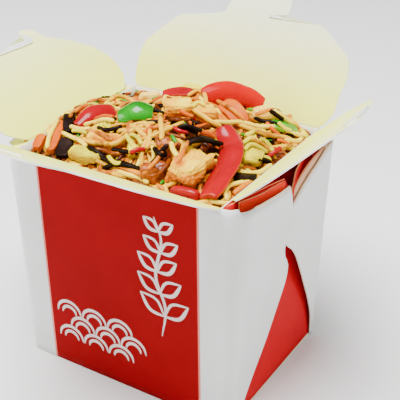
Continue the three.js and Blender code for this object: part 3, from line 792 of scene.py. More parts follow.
def stroke(points, width):
    """A flat printed line on the front panel along (x, z) points, tapering at its ends."""
    route = evenly([(x, z, 0) for x, z in points], STROKE_STEPS)

    def place(column, up):
        a, b = route[max(column - 1, 0)], route[min(column + 1, STROKE_STEPS)]
        way = (b - a).normalized()
        half = width / 2 * (1 - 0.75 * abs(2 * column / STROKE_STEPS - 1) ** 3)
        p = route[column] + Vector((-way.y, way.x, 0)) * half * (2 * up - 1)
        return Vector((p.x, -half_depth(p.y) - wall_bow(p.x, p.y / WALL_TOP) - INK_RISE, p.y))
    return face_outwards(sheet_mesh(STROKE_STEPS, 1, place), (0, -1, 0))


def build_motif():
    """A plain wave and leaf ornament in white on the red front panel."""
    strokes = []
    stem = [(20, 34), (22, 48), (18, 62), (21, 78), (18, 88)]
    strokes.append((stem, 1.3))
    for k, (x, z) in enumerate([(21.5, 44), (19.5, 54), (18.8, 64), (20.6, 73), (19.8, 82)]):
        reach = 11 - k * 1.1
        for side in (-1, 1):
            tip = (x + side * reach, z + reach * 0.75)
            strokes.append(([(x, z), (x + side * reach * 0.62, z + reach * 0.12), tip], 1.6))
            strokes.append(([(x, z), (x + side * reach * 0.32, z + reach * 0.62), tip], 1.2))
    for row, z in enumerate((14, 20.5, 27)):
        for k in range(3):
            x = -27 + 13 * k + (6.5 if row % 2 else 0)
            for size in (6.2, 3.6):
                arc = [(x + size * math.cos(a), z + size * math.sin(a))
                       for a in [math.pi * (1 - i / 6) for i in range(7)]]
                strokes.append((arc, 1.5))
    bm = bmesh.new()
    for points, width in strokes:
        part = stroke(points, width)
        scratch = bpy.data.meshes.new("stroke")
        part.to_mesh(scratch)
        part.free()
        bm.from_mesh(scratch)
        bpy.data.meshes.remove(scratch)
    finish_piece("front_motif", bm, [MATERIALS["ink"]], slot="board", flat=True, leans=True)


# ---------------------------------------------------------------- toppings

class Draws:
    """Small repeatable number source, the same one that shaped the solids."""

    def __init__(self, seed):
        self.state = seed

    def __call__(self):
        mask = 0xFFFFFFFF
        self.state = (self.state + 0x6D2B79F5) & mask
        t = ((self.state ^ (self.state >> 15)) * (1 | self.state)) & mask
        t = ((t + (((t ^ (t >> 7)) * (61 | t)) & mask)) & mask) ^ t
        return ((t ^ (t >> 14)) & mask) / 4294967296


STRIP_COLUMNS = 6
STRIP_SWAY = 0.25
SWAY_SHIFTS = ((9.3, -1.5, -8.0), (-7.1, 4.6, 3.3), (2.2, 6.8, -5.4))


def gentle_push(p):
    """A smooth push of at most 1 in each direction. Blender's own vector noise isn't used,
    because it changes from one run to the next."""
    return Vector([noise.noise(p + Vector(shift)) for shift in SWAY_SHIFTS])


def strip_piece(name, route, width, thick, finish, seed, cup=0.0, roll=0.0, steps=28, start=1.0):
    """A curved strip of vegetable wall, bowed across and rounded at its edges. Start is the share
    of its width that it begins with."""
    points = evenly([(x, y, heap_top(x, y) + lift) for x, y, lift in route], steps)

    def place(column, up):
        forward = (points[min(column + 1, steps)] - points[max(column - 1, 0)]).normalized()
        across = Vector((-forward.y, forward.x, 0)).normalized()
        across.rotate(Matrix.Rotation(math.radians(roll), 3, forward))
        out = forward.cross(across)
        along = column / steps
        taper = (1 - 0.35 * abs(2 * along - 1) ** 4) * lerp(start, 1, min(along * 1.6, 1))
        v = up - 0.5
        bow = cup * taper * (0.5 - 4 * v * v)
        p = points[column] + across * (v * width * taper) + out * bow
        return p + gentle_push(p * 0.16 + Vector((seed, 0, 0))) * STRIP_SWAY

    bm = face_outwards(sheet_mesh(steps, STRIP_COLUMNS, place), (0, 0, 1))
    materials = [MATERIALS[side] for side in finish]
    piece = finish_piece(name + "_piece", bm, materials, replaces=(name,), slot=SLOTS[finish[0]])
    solid = piece.modifiers.new("Wall", "SOLIDIFY")
    solid.thickness, solid.offset = thick * 0.9 * MM, 0
    solid.material_offset = 1
    solid.material_offset_rim = 1
    bevel = piece.modifiers.new("Soft edges", "BEVEL")
    bevel.width, bevel.segments, bevel.limit_method = min(0.7, thick * 0.25) * MM, 3, "ANGLE"
    bevel.angle_limit = math.radians(50)
    return piece


def lump_piece(name, at, size, yaw=0.0, tilt=0.0, lift=0.0, rough=0.12, square=0.45, seed=1,
               finish="chicken", relief=0.5, grain=0.35, detail=6):
    """A chunk of food: the solid's own form with torn relief over it."""
    draw = Draws(seed)
    waves = []
    for _ in range(5):
        way = Vector((draw() - 0.5, draw() - 0.5, draw() - 0.5)) * 6
        waves.append((way, draw() * math.pi * 2))
    bm = bmesh.new()
    bmesh.ops.create_icosphere(bm, subdivisions=detail, radius=1)
    half = Vector(size) / 2
    sauce = bm.verts.layers.float.new("sauce")
    for v in bm.verts:
        p = v.co.normalized()
        swell = sum(math.sin(p.dot(way) + phase) for way, phase in waves)
        boxy = 1 / max(abs(p.x), abs(p.y), abs(p.z)) ** square
        q = p * boxy * (0.92 + rough * swell / 2)
        q = Vector((q.x * half.x, q.y * half.y, q.z * half.z))
        step = Vector((seed * 3.1, 0, 0))
        big = noise.noise(q * 0.2 + step) * relief * 1.7
        along = Vector((q.x * 0.1, q.y * 0.55, q.z * 0.55)) + step
        torn = (0.4 - abs(noise.noise(along))) * relief * 0.9
        fine = noise.noise(Vector((q.x * 0.5, q.y * 1.3, q.z * 1.3)) + step) * grain
        v.co = q + p * (big + torn + fine - relief * 0.3)
        v[sauce] = 0.9 * smooth(-0.7, 0.1, 0.6 * noise.noise(q * 0.35 + step) - p.z)
    bmesh.ops.rotate(bm, verts=bm.verts[:], matrix=Matrix.Rotation(math.radians(tilt), 3, "X"))
    bmesh.ops.rotate(bm, verts=bm.verts[:], matrix=Matrix.Rotation(math.radians(yaw), 3, "Z"))
    bmesh.ops.translate(bm, verts=bm.verts[:], vec=(at[0], at[1], heap_top(*at) + lift))
    return finish_piece(name + "_piece", bm, [MATERIALS[finish]], replaces=(name,), slot=SLOTS[finish])


SLOTS = {
    "pepper_red": "red_pepper", "pepper_orange": "red_pepper", "pepper_green": "green_pepper",
    "herb": "green_pepper", "mushroom": "mushroom", "chicken": "chicken", "carrot": "carrot",
    "onion": "onion", "cabbage": "cabbage", "meat": "meat",
}

# Skin and flesh of a strip.
RED = ("pepper_red", "pepper_red_flesh")
ORANGE_RED = ("pepper_orange", "pepper_red_flesh")
GREEN = ("pepper_green", "pepper_green_flesh")
DARK = ("mushroom", "mushroom")
CARROT = ("carrot", "carrot")

# Strips: the (x, y) points that each passes and its lift over the heap there.
PEPPER_STRIPS = {
    "pepper_strip_long": dict(
        route=[(23, 0.5, 2.8), (28, -2.8, 3.6), (32, -8.2, 3.8), (34.6, -16, 3.8), (36.2, -24.4, 3.4),
               (37.6, -31, 3), (38.3, -35.6, 2.6)],
        width=9, thick=2.6, cup=1.8, roll=14, finish=RED, steps=48),
    "pepper_dome": dict(
        route=[(4.5, 16, 1.6), (10.5, 23, 3.6), (17, 28, 4), (24, 31.5, 2.4)],
        width=8.5, thick=2.6, cup=1.8, roll=52, finish=ORANGE_RED, steps=36),
    "pepper_wedge_left": dict(
        route=[(-32, -20, 1.8), (-30.3, -11, 3.2), (-28, -2.2, 2.6)],
        width=9, thick=2.6, cup=2.4, roll=22, finish=RED, start=0.55),
    "green_pepper": dict(
        route=[(-15, -14.5, 1.8), (-9, -12, 3.2), (-3.5, -8.5, 2)],
        width=8.5, thick=2.6, cup=2, roll=24, finish=GREEN),
    "pepper_sliver_back": dict(
        route=[(-13, 13, 2.2), (-7, 15, 2.6), (-0.5, 16.5, 2)],
        width=4.6, thick=2, roll=24, finish=RED),
    "green_sliver_right": dict(
        route=[(34, 21.5, 2), (37.5, 26, 2.2), (40.5, 31, 1.6)],
        width=6, thick=2.2, roll=20, finish=GREEN),
}

OTHER_STRIPS = {
    "mushroom_over_chicken": dict(
        route=[(19, -20, 3.8), (23.6, -13.1, 4.2), (27.4, -8.8, 3.4)], width=3.2, thick=1.8, finish=DARK),
    "carrot_under_dome": dict(
        route=[(13.5, 17, 2), (19.5, 14.6, 2.6), (25.5, 12.6, 1.8)],
        width=7.5, thick=2.6, roll=24, finish=CARROT),
    "carrot_left": dict(
        route=[(-40.2, -20.5, 1.8), (-36.8, -28, 2.4), (-33.4, -36, 2)],
        width=4.8, thick=3, finish=CARROT),
    "carrot_corner": dict(
        route=[(-42.4, -29.5, 1.6), (-41, -33, 1.8), (-39.4, -36.8, 1.6)],
        width=3.8, thick=3, finish=CARROT),
    "carrot_behind_pepper": dict(
        route=[(-41.5, -10.5, 1.8), (-38.7, -7.2, 2), (-36, -3.5, 1.6)],
        width=4.4, thick=2.2, finish=CARROT),
    "mushroom_left": dict(
        route=[(-40.6, -15.2, 1.8), (-37, -19.4, 2.2), (-33.2, -24.6, 1.8)],
        width=4.2, thick=2, finish=DARK),
    "mushroom_front": dict(
        route=[(-31, -28, 2), (-29, -32, 2.2), (-27.4, -36.6, 1.8)], width=6, thick=2.2, finish=DARK),
    "mushroom_sliver_front": dict(
        route=[(-6.5, -34.2, 1.8), (1, -34.8, 2.2), (7.4, -34, 1.8)], width=3, thick=2, finish=DARK),
    "mushroom_sliver_middle": dict(
        route=[(11.5, -14, 2), (14.5, -12, 2.2), (18, -9.5, 1.8)], width=3, thick=1.8, finish=DARK),
    "mushroom_right": dict(
        route=[(40.6, -18, 1.6), (41.2, -13.4, 2), (41.6, -8.6, 1.6)],
        width=5.4, thick=2.2, finish=DARK),
}

# Chunks: where each lies, its length, width and height, and its turn.
CHICKEN_LUMPS = {
    "chicken_large": dict(at=(25, -25.5), size=(21, 13, 10), yaw=96, tilt=6, lift=1.8, square=0.7,
                          seed=11, relief=1.3),
    "chicken_middle": dict(at=(3, 0.5), size=(13, 9, 8), yaw=31, lift=1, square=0.7, seed=23,
                           relief=1.0),
    "chicken_behind": dict(at=(12.5, 5), size=(9.5, 11, 7), yaw=31, lift=0.8, square=0.6, seed=31,
                           relief=1.0),
    "chicken_left": dict(at=(-14, -26.4), size=(18, 7.5, 6), yaw=2, lift=1.4, rough=0.1, square=0.6,
                         seed=61, relief=0.7),
    "meat_front": dict(at=(14.2, -32.6), size=(12, 7, 7), yaw=32, lift=1.2, rough=0.16, square=0.6,
                       seed=67, finish="meat", relief=0.9),
    "meat_middle": dict(at=(11.6, -23.6), size=(9, 5.5, 5), yaw=-52, lift=1.2, rough=0.16, square=0.6,
                        seed=69, finish="meat", relief=0.8),
    "meat_right": dict(at=(41.4, 11.5), size=(8, 6, 6), yaw=40, lift=1.2, rough=0.14, square=0.6,
                       seed=71, finish="meat", relief=0.7),
}

VEGETABLE_LUMPS = {
    "onion_left": dict(at=(-21.5, 16), size=(9, 6.5, 6), yaw=35, lift=1.8, rough=0.08, seed=5,
                       finish="onion", grain=0.1),
    "onion_right": dict(at=(28.5, 24.5), size=(11.5, 7, 8), yaw=38, lift=1.4, rough=0.08, seed=8,
                        finish="onion", grain=0.1),
    "cabbage_right": dict(at=(35.8, 1.8), size=(15.5, 10, 7), yaw=-62, lift=1, rough=0.2, seed=42,
                          finish="cabbage", relief=1.1, grain=0.25),
    "cabbage_front": dict(at=(-17, -34.4), size=(17, 6.5, 6), yaw=3, lift=1.6, rough=0.1, seed=47,
                          finish="cabbage", relief=0.5),
    "cabbage_middle": dict(at=(0.2, -27), size=(10.5, 5, 5), yaw=-50, lift=1.2, rough=0.14, seed=49,
                           finish="cabbage", relief=0.6),
    "cabbage_back": dict(at=(-4.5, 23.5), size=(9.5, 6, 5), yaw=20, lift=1, rough=0.16, seed=51,
                         finish="cabbage", relief=0.8),
    "tomato_front": dict(at=(28.6, -35.8), size=(13.5, 5, 6), yaw=6, lift=1, rough=0.06, seed=3,
                         finish="pepper_red", relief=0.3, grain=0.08),
}

# Pieces that the noodles dive under.
TOPPINGS = []


# ---------------------------------------------------------------- noodles

UNDER_HEAP = 60.0
WALL_GAP = 1.2
NOODLE_STEP = 1.7


class Cover:
    """Finds the underside of the toppings over a point."""

    def __init__(self, pieces):
        graph = bpy.context.evaluated_depsgraph_get()
        vertices, faces = [], []
        for piece in pieces:
            mesh = piece.evaluated_get(graph).to_mesh()
            start = len(vertices)
            vertices.extend(v.co / MM for v in mesh.vertices)
            faces.extend([start + i for i in p.vertices] for p in mesh.polygons)
            piece.evaluated_get(graph).to_mesh_clear()
        self.tree = BVHTree.FromPolygons(vertices, faces)

    def underside(self, x, y, reach):
        """Lowest level met straight above a point and a reach to its sides, or None."""
        low = None
        for dx, dy in ((0, 0), (reach, 0), (-reach, 0), (0, reach), (0, -reach)):
            hit = self.tree.ray_cast(Vector((x + dx, y + dy, UNDER_HEAP)), Vector((0, 0, 1)))[0]
            if hit is not None:
                low = hit.z if low is None else min(low, hit.z)
        return low


def noodle_points(draw, level, radius, cover):
    """A wandering strand at a level of the heap that dives under what lies on top."""
    reach_x, reach_y = SIDE_RIM - WALL_GAP - radius, RIM_HALF_DEPTH - WALL_GAP - radius
    x, y = draw.uniform(-reach_x, reach_x), draw.uniform(-reach_y, reach_y)
    heading, turn = draw.uniform(0, 2 * math.pi), draw.uniform(-0.1, 0.1)
    beat, shift = draw.uniform(0.35, 0.6), draw.uniform(0, 6)
    flat = []
    for i in range(draw.randint(22, 46)):
        z = heap_top(x, y) + level + 0.75 * math.sin(i * beat + shift)
        z += 1.3 * noise.noise(Vector((x, y, level * 9)) * 0.11)
        under = cover.underside(x, y, radius * 1.1)
        if under is not None:
            z = min(z, under - radius * 0.7)
        flat.append(Vector((x, y, z)))
        edge = max(abs(x) / reach_x, abs(y) / reach_y)
        if edge > 0.86:
            home = math.atan2(-y, -x)
            swing = (home - heading + math.pi) % (2 * math.pi) - math.pi
            turn += 0.10 * math.copysign(1, swing)
        heading += turn
        turn = within(turn + draw.uniform(-0.09, 0.09), 0.26)
        x = within(x + math.cos(heading) * NOODLE_STEP, reach_x)
        y = within(y + math.sin(heading) * NOODLE_STEP, reach_y)
    for _ in range(2):
        for a, b, c in zip(flat, flat[1:], flat[2:]):
            b.z = (a.z + 2 * b.z + c.z) / 4
    return flat


def strands_piece(name, strands, materials, replaces, slot, sides=1):
    """Round strands swept along their routes and joined into one mesh."""
    curve = bpy.data.curves.new(name, "CURVE")
    curve.dimensions = "3D"
    curve.bevel_depth = MM
    curve.bevel_resolution = sides
    curve.use_fill_caps = True
    for material in materials:
        curve.materials.append(material)
    for points, radius, shade in strands:
        spline = curve.splines.new("POLY")
        spline.points.add(len(points) - 1)
        for i, (point, p) in enumerate(zip(spline.points, points)):
            point.co = (*(p * MM), 1)
            end = min(i, len(points) - 1 - i)
            point.radius = radius * (0.55 if end == 0 else 0.9 if end == 1 else 1)
        spline.material_index = shade
        spline.use_smooth = True
    swept = bpy.data.objects.new(name + "_sweep", curve)
    bpy.context.scene.collection.objects.link(swept)
    graph = bpy.context.evaluated_depsgraph_get()
    mesh = bpy.data.meshes.new_from_object(swept.evaluated_get(graph))
    bpy.data.objects.remove(swept)
    bpy.data.curves.remove(curve)
    shades = [p.material_index for p in mesh.polygons]
    mesh.materials.clear()
    mesh.name = name
    piece = place_mesh(name, mesh, materials, replaces=replaces, slot=slot)
    mesh.polygons.foreach_set("material_index", shades)
    return piece


# The core keeps off the walls and the floor, and lies under the separate noodles.
CORE_GAP, CORE_LIFT, CORE_DROP = 0.4, 0.3, 3.4


def build_painted_shade_core():
    """Packed noodles under the strands, filling the carton, near-black as painted shade in the depths."""
    bm = bmesh.new()
    bmesh.ops.create_cube(bm, size=2)
    bmesh.ops.subdivide_edges(bm, edges=bm.edges[:], cuts=20, use_grid_fill=True)
    for v in bm.verts:
        u, w, side = v.co

        def reach(z, face, tuck):
            return face(z) - BOARD - CORE_GAP - tuck * (1 - z / HEIGHT)
        x_top, y_top = u * (SIDE_RIM - BOARD - CORE_GAP), w * (RIM_HALF_DEPTH - BOARD - CORE_GAP)
        rough = 0.8 * noise.noise(Vector((x_top, y_top, 0)) * 0.2)
        z = lerp(FLOOR + CORE_LIFT, heap_top(x_top, y_top) - CORE_DROP + rough, (side + 1) / 2)
        level = min(z, HEIGHT)
        v.co = (u * reach(level, side_face, 1.6), w * reach(level, half_depth, 0.6), z)
    bm.normal_update()
    finish_piece("noodle_core_painted_shade", bm, [MATERIALS["core_painted_shade"]], replaces=("noodle_heap",), slot="noodle",
                 leans=True)


def build_noodles(food):
    """The heap's separate noodles in three layers: name, level, share of them and shades."""
    cover = Cover(TOPPINGS)
    draw = random.Random(food.seed)
    shades = [MATERIALS[k] for k in ("noodle_pale", "noodle_cream", "noodle_amber", "noodle_sauced_and_shaded")]
    # Deeper layers take darker shades: painted shade among the buried strands.
    layers = [
        ("noodles_deep", -2.4, 0.44, (2, 3, 3, 3, 3)),
        ("noodles_middle", -1.0, 0.34, (0, 2, 2, 3, 3)),
        ("noodles_upper", 0.5, 0.22, (0, 0, 1, 2, 2, 3)),
    ]
    for name, level, share, choice in layers:
        strands = []
        for _ in range(int(food.noodle_count * share)):
            radius = food.noodle_radius * draw.uniform(0.82, 1.1)
            strands.append((noodle_points(draw, level, radius, cover), radius, draw.choice(choice)))
        strands_piece(name, strands, shades, ("noodle_heap",), "noodle", 2)


# Noodles over the toppings: a shade, then the (x, y) points that each passes and its lift over
# the heap there.
DRAPED = [
    ("noodle_pale", [(-0.5, -22.9, 0.4), (4.6, -22.2, 1.6), (8.2, -18.8, 2), (10.4, -14.5, 2.2),
                     (12.1, -10.2, 2.2)]),
    ("noodle_pale", [(-2.5, -4.7, 0.6), (2, -11, 1.8), (6.3, -17.2, 2.6), (10, -22, 4.2),
                     (11.8, -25.3, 5)]),
    ("noodle_cream", [(18.2, 0.5, 2.4), (21.2, 6.2, 2.8), (25.1, 12.2, 2.8), (30.3, 16.1, 2.8),
                      (35, 20.9, 2.4), (40.6, 26, 3.4), (44.3, 31.4, 2.4)]),
    ("noodle_pale", [(24.2, 10.8, 2), (29.4, 12.8, 2.4), (35, 15.8, 2.6), (39.8, 22.4, 1.6),
                     (43.5, 26.5, 1)]),
    ("noodle_amber", [(20.3, -20.3, 4.9), (22, -27.3, 7), (22, -31.6, 6.4), (20.8, -34, 3.3),
                      (19.8, -34.6, 0.6)]),
    ("noodle_cream", [(-35.1, -26, 2.8), (-28.4, -28.1, 3), (-23.8, -29, 3), (-17.7, -32.5, 3.6)]),
    ("noodle_amber", [(-8.2, -28.9, 4), (-13, -27.6, 4.3), (-18.6, -26, 4.6), (-25.8, -22.5, 1.8)]),
    ("noodle_cream", [(-29.4, -19, 2.8), (-25.9, -17, 2.8), (-20.1, -17.9, 2.8), (-14.4, -19, 2.5)]),
    ("noodle_pale", [(-25.5, -26.8, 2), (-17.3, -29.7, 3.3), (-11.5, -29.7, 3.2), (-6.8, -28.5, 2.5),
                     (-5.3, -24, 0.8)]),
    ("noodle_amber", [(-14.4, -33.6, 4), (-10.8, -31.4, 2.6), (-4.9, -31.2, 1.9), (-2.6, -28, 1)]),
    ("noodle_cream", [(-34.2, -36.4, 3.4), (-36.4, -32.5, 4), (-38.5, -27.3, 4.7), (-40.2, -21.9, 4.2)]),
    ("noodle_cream", [(30, 24.6, 3.6), (34.2, 26, 4.6), (37, 30, 3), (38, 35, 1)]),
    ("noodle_cream", [(43.4, -31, 1.2), (40.6, -27.4, 2.8), (40, -23.4, 2.6), (41.8, -20, 2.4),
                      (43.6, -15, 1.6)]),
    ("noodle_amber", [(42.3, -24.5, 1.2), (43.9, -19.3, 1.8), (43.4, -13, 0.8)]),
    ("noodle_amber", [(11.7, -37.6, 4.6), (13.4, -35.6, 6.2), (13.4, -30.6, 4), (13.6, -26.9, 3.2)]),
    ("noodle_sauced_and_shaded", [(13.7, -35.9, 0.6), (16.3, -34.5, 2.7), (17.6, -31, 3.2), (16.4, -26.6, 1)]),
    ("noodle_pale", [(-11, -35.7, 3), (-8, -35, 1.6), (-3.5, -35.8, 1.6)]),
    ("noodle_cream", [(0.5, -38, 3), (5.2, -37.6, 2.4), (9.4, -36.8, 1.8), (14, -37.4, 1.6)]),
    ("noodle_amber", [(0.4, -36.1, 2.4), (5.9, -36.2, 2.8), (12, -37.4, 4.2)]),
    ("noodle_pale", [(-37.9, 9.8, 2.3), (-38.9, 15.5, 2.2), (-36, 20, 1.6), (-28, 14, 2)]),
    ("noodle_amber", [(-36.7, -18.6, 3.8), (-39.5, -9.9, 3.7), (-40.4, -2.1, 2)]),
    ("noodle_pale", [(-0.5, 12.9, 2.6), (0.6, 18.5, 2.6), (5, 16.4, 3), (12.2, 6.2, 4.4)]),
    ("noodle_amber", [(10, 18.2, 1.4), (17.1, 13.6, 3.6), (21.7, 12.7, 4.3), (25.8, 12.6, 4)]),
    ("noodle_pale", [(8, 2.5, 3.4), (11, 0.3, 3.7), (14.7, 0.2, 3.1), (18.5, 0, 2.4), (21.5, 2, 1.8)]),
    ("noodle_sauced_and_shaded", [(2.9, -8.6, 2.2), (8.1, -10.9, 2.6), (10.9, -9.6, 2.1), (11.8, -5.3, 2.1)]),
    ("noodle_sauced_and_shaded", [(38.5, 22.3, 1.8), (40, 26.6, 1.4), (42.6, 28.9, 1.4)]),
    ("noodle_pale", [(6.2, -26.7, 2), (4.8, -22.6, 1.6), (2.3, -19.4, 1.8), (-1.2, -17.6, 2.2)]),
    ("noodle_cream", [(15.2, -23.9, 4.4), (17.4, -26, 5), (21, -28.6, 6.8)]),
    ("noodle_pale", [(-6.5, -19.4, 2), (-2, -20.6, 1.4), (3.1, -22.7, 2.2)]),
    ("noodle_sauced_and_shaded", [(37.4, -17, 4.4), (38, -12, 2.8), (38.8, -7.5, 2.1), (41.3, -5.3, 1.6)]),
    ("noodle_pale", [(30, 7.6, 2), (34, 8.8, 2.4), (38.2, 10.3, 2), (42, 9.5, 1)]),
    ("noodle_cream", [(-33.5, -22.7, 3.2), (-28.7, -22.5, 2.4), (-23.7, -22.4, 2.8)]),
    ("noodle_amber", [(26.5, 20, 2.4), (29.5, 22.2, 4.4), (33, 26.6, 4.6), (35.6, 28.6, 2.6)]),
    ("noodle_pale", [(-24, 0, 1.4), (-18, 6, 1.8), (-13, 4, 1.8), (-14, -3, 1.2)]),
    ("noodle_cream", [(-40, -4, 1.4), (-34, 2, 1.8), (-36, 10, 1.4)]),
    ("noodle_pale", [(38, 10.3, 2.2), (42.3, 16, 2.4), (44, 24, 1.6)]),
    ("noodle_cream", [(34.5, -13, 2.2), (39.5, -12, 2.4), (43, -6, 2), (44, 2, 1.4)]),
    ("noodle_cream", [(40.5, 20, 2), (43.4, 27, 2.2), (42, 34, 1.4)]),
    ("noodle_pale", [(30, 29.5, 3), (35, 32, 3), (40, 33.5, 2.2)]),
]

# Slivers of vegetable that lie on top: routes as above for each finish.
SLIVERS = {
    "mushroom": [
        [(-17.2, -32.6, 3.8), (-12.4, -33.6, 4.2), (-8.6, -34, 3), (-2.2, -36, 3.6), (2.4, -36, 3.7),
         (7, -35.3, 3.6), (11, -35.9, 4.6)],
        [(-6.9, -37, 1.6), (-4.1, -36, 2.4), (-0.5, -35.9, 4)],
        [(14.8, -25.4, 4.7), (13.4, -27.4, 3.4), (12.4, -29.6, 2.8), (12.4, -32.9, 4.8)],
        [(12.8, -14.6, 2.8), (14.9, -13.1, 3.8), (17.3, -11.3, 3.6), (18.4, -7.6, 2.2)],
        [(26.7, 19.3, 1.8), (29.6, 20.6, 1.6), (33.6, 21.8, 2.4), (36.7, 22.6, 3.4)],
        [(20.4, -20.8, 4.4), (23.2, -16.5, 4.9), (25.8, -12.4, 5), (28.6, -8.6, 4.4)],
        [(-40.8, -7, 2), (-38.6, -13.4, 3), (-36.4, -17.4, 3.2)],
        [(-10, -10, 1.6), (-5, -6.6, 2), (0, -5.6, 1.8)],
        [(-24, -13, 2), (-20, -15.4, 2.2), (-15.4, -17, 1.8)],
        [(-20.3, -21.8, 2.8), (-14.7, -24, 3.3), (-10.5, -22.4, 2)],
        [(-8, -29.6, 1.2), (0.1, -30.4, 2.9), (3.5, -28.7, 1.8)],
        [(31.7, 23.2, 5.5), (33.8, 24.6, 4.2), (35.9, 26.9, 3.4)],
        [(38.6, 21.4, 1), (39.5, 23.9, 2), (41.9, 25.4, 3.1)],
        [(9.1, -26.3, 2), (13.5, -28.9, 4), (14.9, -26.3, 1.4)],
        [(40.8, -3.2, 4.4), (40.2, 1, 2.4), (41.6, 5.7, 1)],
    ],
    "cabbage": [
        [(29, 7.9, 1.6), (30.2, 11.3, 2.3), (31.1, 16.3, 1.8), (34.7, 16.4, 2.2)],
        [(33.8, -1.4, 4.2), (33.8, 4, 3.9), (36.8, 5, 4.4), (38.7, 8.5, 2)],
        [(33.4, 12.2, 1.7), (36.2, 13.1, 1.4), (41, 9, 3.8)],
        [(38, -5.9, 4.4), (40.2, -3.4, 3.8), (39.4, 5.5, 1.6), (41.4, 6.6, 1)],
        [(37.7, -1.8, 4.2), (39.1, 1.2, 3), (40, 5.2, 1.6)],
        [(34, -8, 2), (37, -10, 2.2), (40.5, -8, 1.6)],
        [(30.5, 3, 2), (31.6, 8, 2.2), (35, 10.5, 1.8)],
        [(-5.4, -23.8, 1.2), (-1, -26.8, 3.1), (3.3, -29.6, 4.5)],
        [(-3.9, -23.3, 1.5), (-0.6, -23.3, 1.6), (3.8, -26.4, 3.2)],
        [(-6.5, -34, 4.1), (-2, -36.4, 4.4), (1.1, -36.3, 4.4)],
        [(9.5, -0.1, 5.2), (10, 3.5, 5.4), (13, 3.9, 5.4)],
        [(36.2, 21.8, 4.8), (38.6, 22.5, 4.6), (40.6, 25, 4.6)],
        [(-31.1, -24.5, 2.6), (-27.6, -24.2, 2.6), (-23, -24.5, 2.6)],
    ],
    "carrot": [
        [(31.7, 20.2, 2.4), (34.9, 19.4, 2.6), (38, 20, 1.6)],
        [(-27.5, -14.3, 2.8), (-22.3, -15, 3.4), (-16, -17.5, 3)],
        [(18.1, -8.2, 1.8), (20.7, -6.5, 2.3), (23, -5, 1.6)],
        [(3.2, -18.7, 2.1), (2.2, -20.7, 1.8), (1.4, -22.9, 1.4)],
        [(5.5, -2.6, 2.8), (8.4, -2.7, 2.2), (11.1, -1.9, 2)],
        [(38.5, 17, 1.8), (40.6, 18.1, 2.2), (43.3, 19, 2)],
    ],
    "pepper_red": [
        [(9.7, -14.8, 2.2), (13.8, -15.5, 2.4), (15.5, -13, 1.4)],
        [(39.8, 7.3, 1.6), (41.3, 9.2, 3.6), (42.4, 12.9, 3.8)],
        [(1.8, -31.4, 3.6), (3.7, -29.6, 3.9), (5.2, -26.6, 1.4)],
    ],
}

DRAPED_STEPS = 26
SLIVER_RADIUS = 0.95
TOP_HALF_WIDTH, TOP_HALF_DEPTH = 44.2, 38.0


def draped(routes, radius, draw, shade):
    """Strands along routes over the heap, each a little thicker or thinner than the radius."""
    strands = []
    for k, route in enumerate(routes):
        points = [(within(x, TOP_HALF_WIDTH), within(y, TOP_HALF_DEPTH), heap_top(x, y) + lift)
                  for x, y, lift in route]
        strands.append((evenly(points, DRAPED_STEPS), radius * draw.uniform(0.85, 1.05), shade(k)))
    return strands


def build_draped(food):
    """Noodles and slivers of vegetable that lie on top of the toppings."""
    draw = random.Random(food.seed + 1)
    shades = ("noodle_pale", "noodle_cream", "noodle_amber", "noodle_sauced_and_shaded")
    strands = draped([route for _, route in DRAPED], food.noodle_radius, draw,
                     lambda k: shades.index(DRAPED[k][0]))
    finishes = [MATERIALS[shade] for shade in shades]
    strands_piece("noodles_draped", strands, finishes, ("noodle_heap",), "noodle", 3)
    for finish, routes in SLIVERS.items():
        strips = draped(routes, SLIVER_RADIUS, draw, lambda k: 0)
        strands_piece(f"slivers_{finish}", strips, [MATERIALS[finish]], ("noodle_heap",),
                      SLOTS[finish], 2)


# ---------------------------------------------------------------- small bits

# Shreds: piece, finish, number of them, radius, and shortest and longest.
SHREDS = [
    ("shreds_carrot", "carrot", 26, 0.9, (9, 18)),
    ("shreds_spring_onion", "herb", 30, 0.9, (5, 12)),
    ("shreds_mushroom", "mushroom", 34, 1.0, (6, 15)),
    ("shreds_cabbage", "cabbage", 26, 1.0, (7, 15)),
    ("shreds_pepper", "pepper_red", 12, 1.0, (6, 12)),
]
SHRED_STEP = 1.2
SHRED_START_WIDTH, SHRED_START_DEPTH = 42, 36
SHRED_HALF_WIDTH, SHRED_HALF_DEPTH = 44.3, 38.2


def build_shreds(food):
    """Thin cut vegetables tossed through the noodles, one mesh for each kind."""
    cover = Cover(TOPPINGS)
    draw = random.Random(food.seed + 2)
    for name, finish, count, radius, (short, long) in SHREDS:
        strands = []
        while len(strands) < count:
            x = draw.uniform(-SHRED_START_WIDTH, SHRED_START_WIDTH)
            y = draw.uniform(-SHRED_START_DEPTH, SHRED_START_DEPTH)
            if cover.underside(x, y, 2.0) is not None:
                continue
            length, heading = draw.uniform(short, long), draw.uniform(0, 2 * math.pi)
            bend = draw.uniform(-0.12, 0.12)
            points = []
            for _ in range(int(length / SHRED_STEP)):
                z = heap_top(x, y) + draw.uniform(0.75, 0.95)
                z += 0.5 * noise.noise(Vector((x, y, 3)) * 0.2)
                under = cover.underside(x, y, radius)
                if under is not None:
                    z = min(z, under - radius)
                points.append(Vector((within(x, SHRED_HALF_WIDTH), within(y, SHRED_HALF_DEPTH), z)))
                heading += bend
                x += math.cos(heading) * SHRED_STEP
                y += math.sin(heading) * SHRED_STEP
            if len(points) > 3:
                strands.append((points, radius * draw.uniform(0.7, 1.15), 0))
        strands_piece(name, strands, [MATERIALS[finish]], ("noodle_heap",), SLOTS[finish], 1)


# ---------------------------------------------------------------- stage

# The camera, in metres, and the directions of its own axes.
CAMERA_PLACE = (0.185215, -0.282837, 0.253048)
CAMERA_RIGHT = (0.85275, 0.52227, 0.00659)
CAMERA_UP = (-0.25203, 0.40040, 0.88100)
CAMERA_FORWARD = (-0.45749, 0.75293, -0.47307)

TABLE_HALF, TABLE_DROP = 3.0, 0.0004
FILL_SHARE = 0.22
LIGHT_AIM = (0, 0, 0.06)


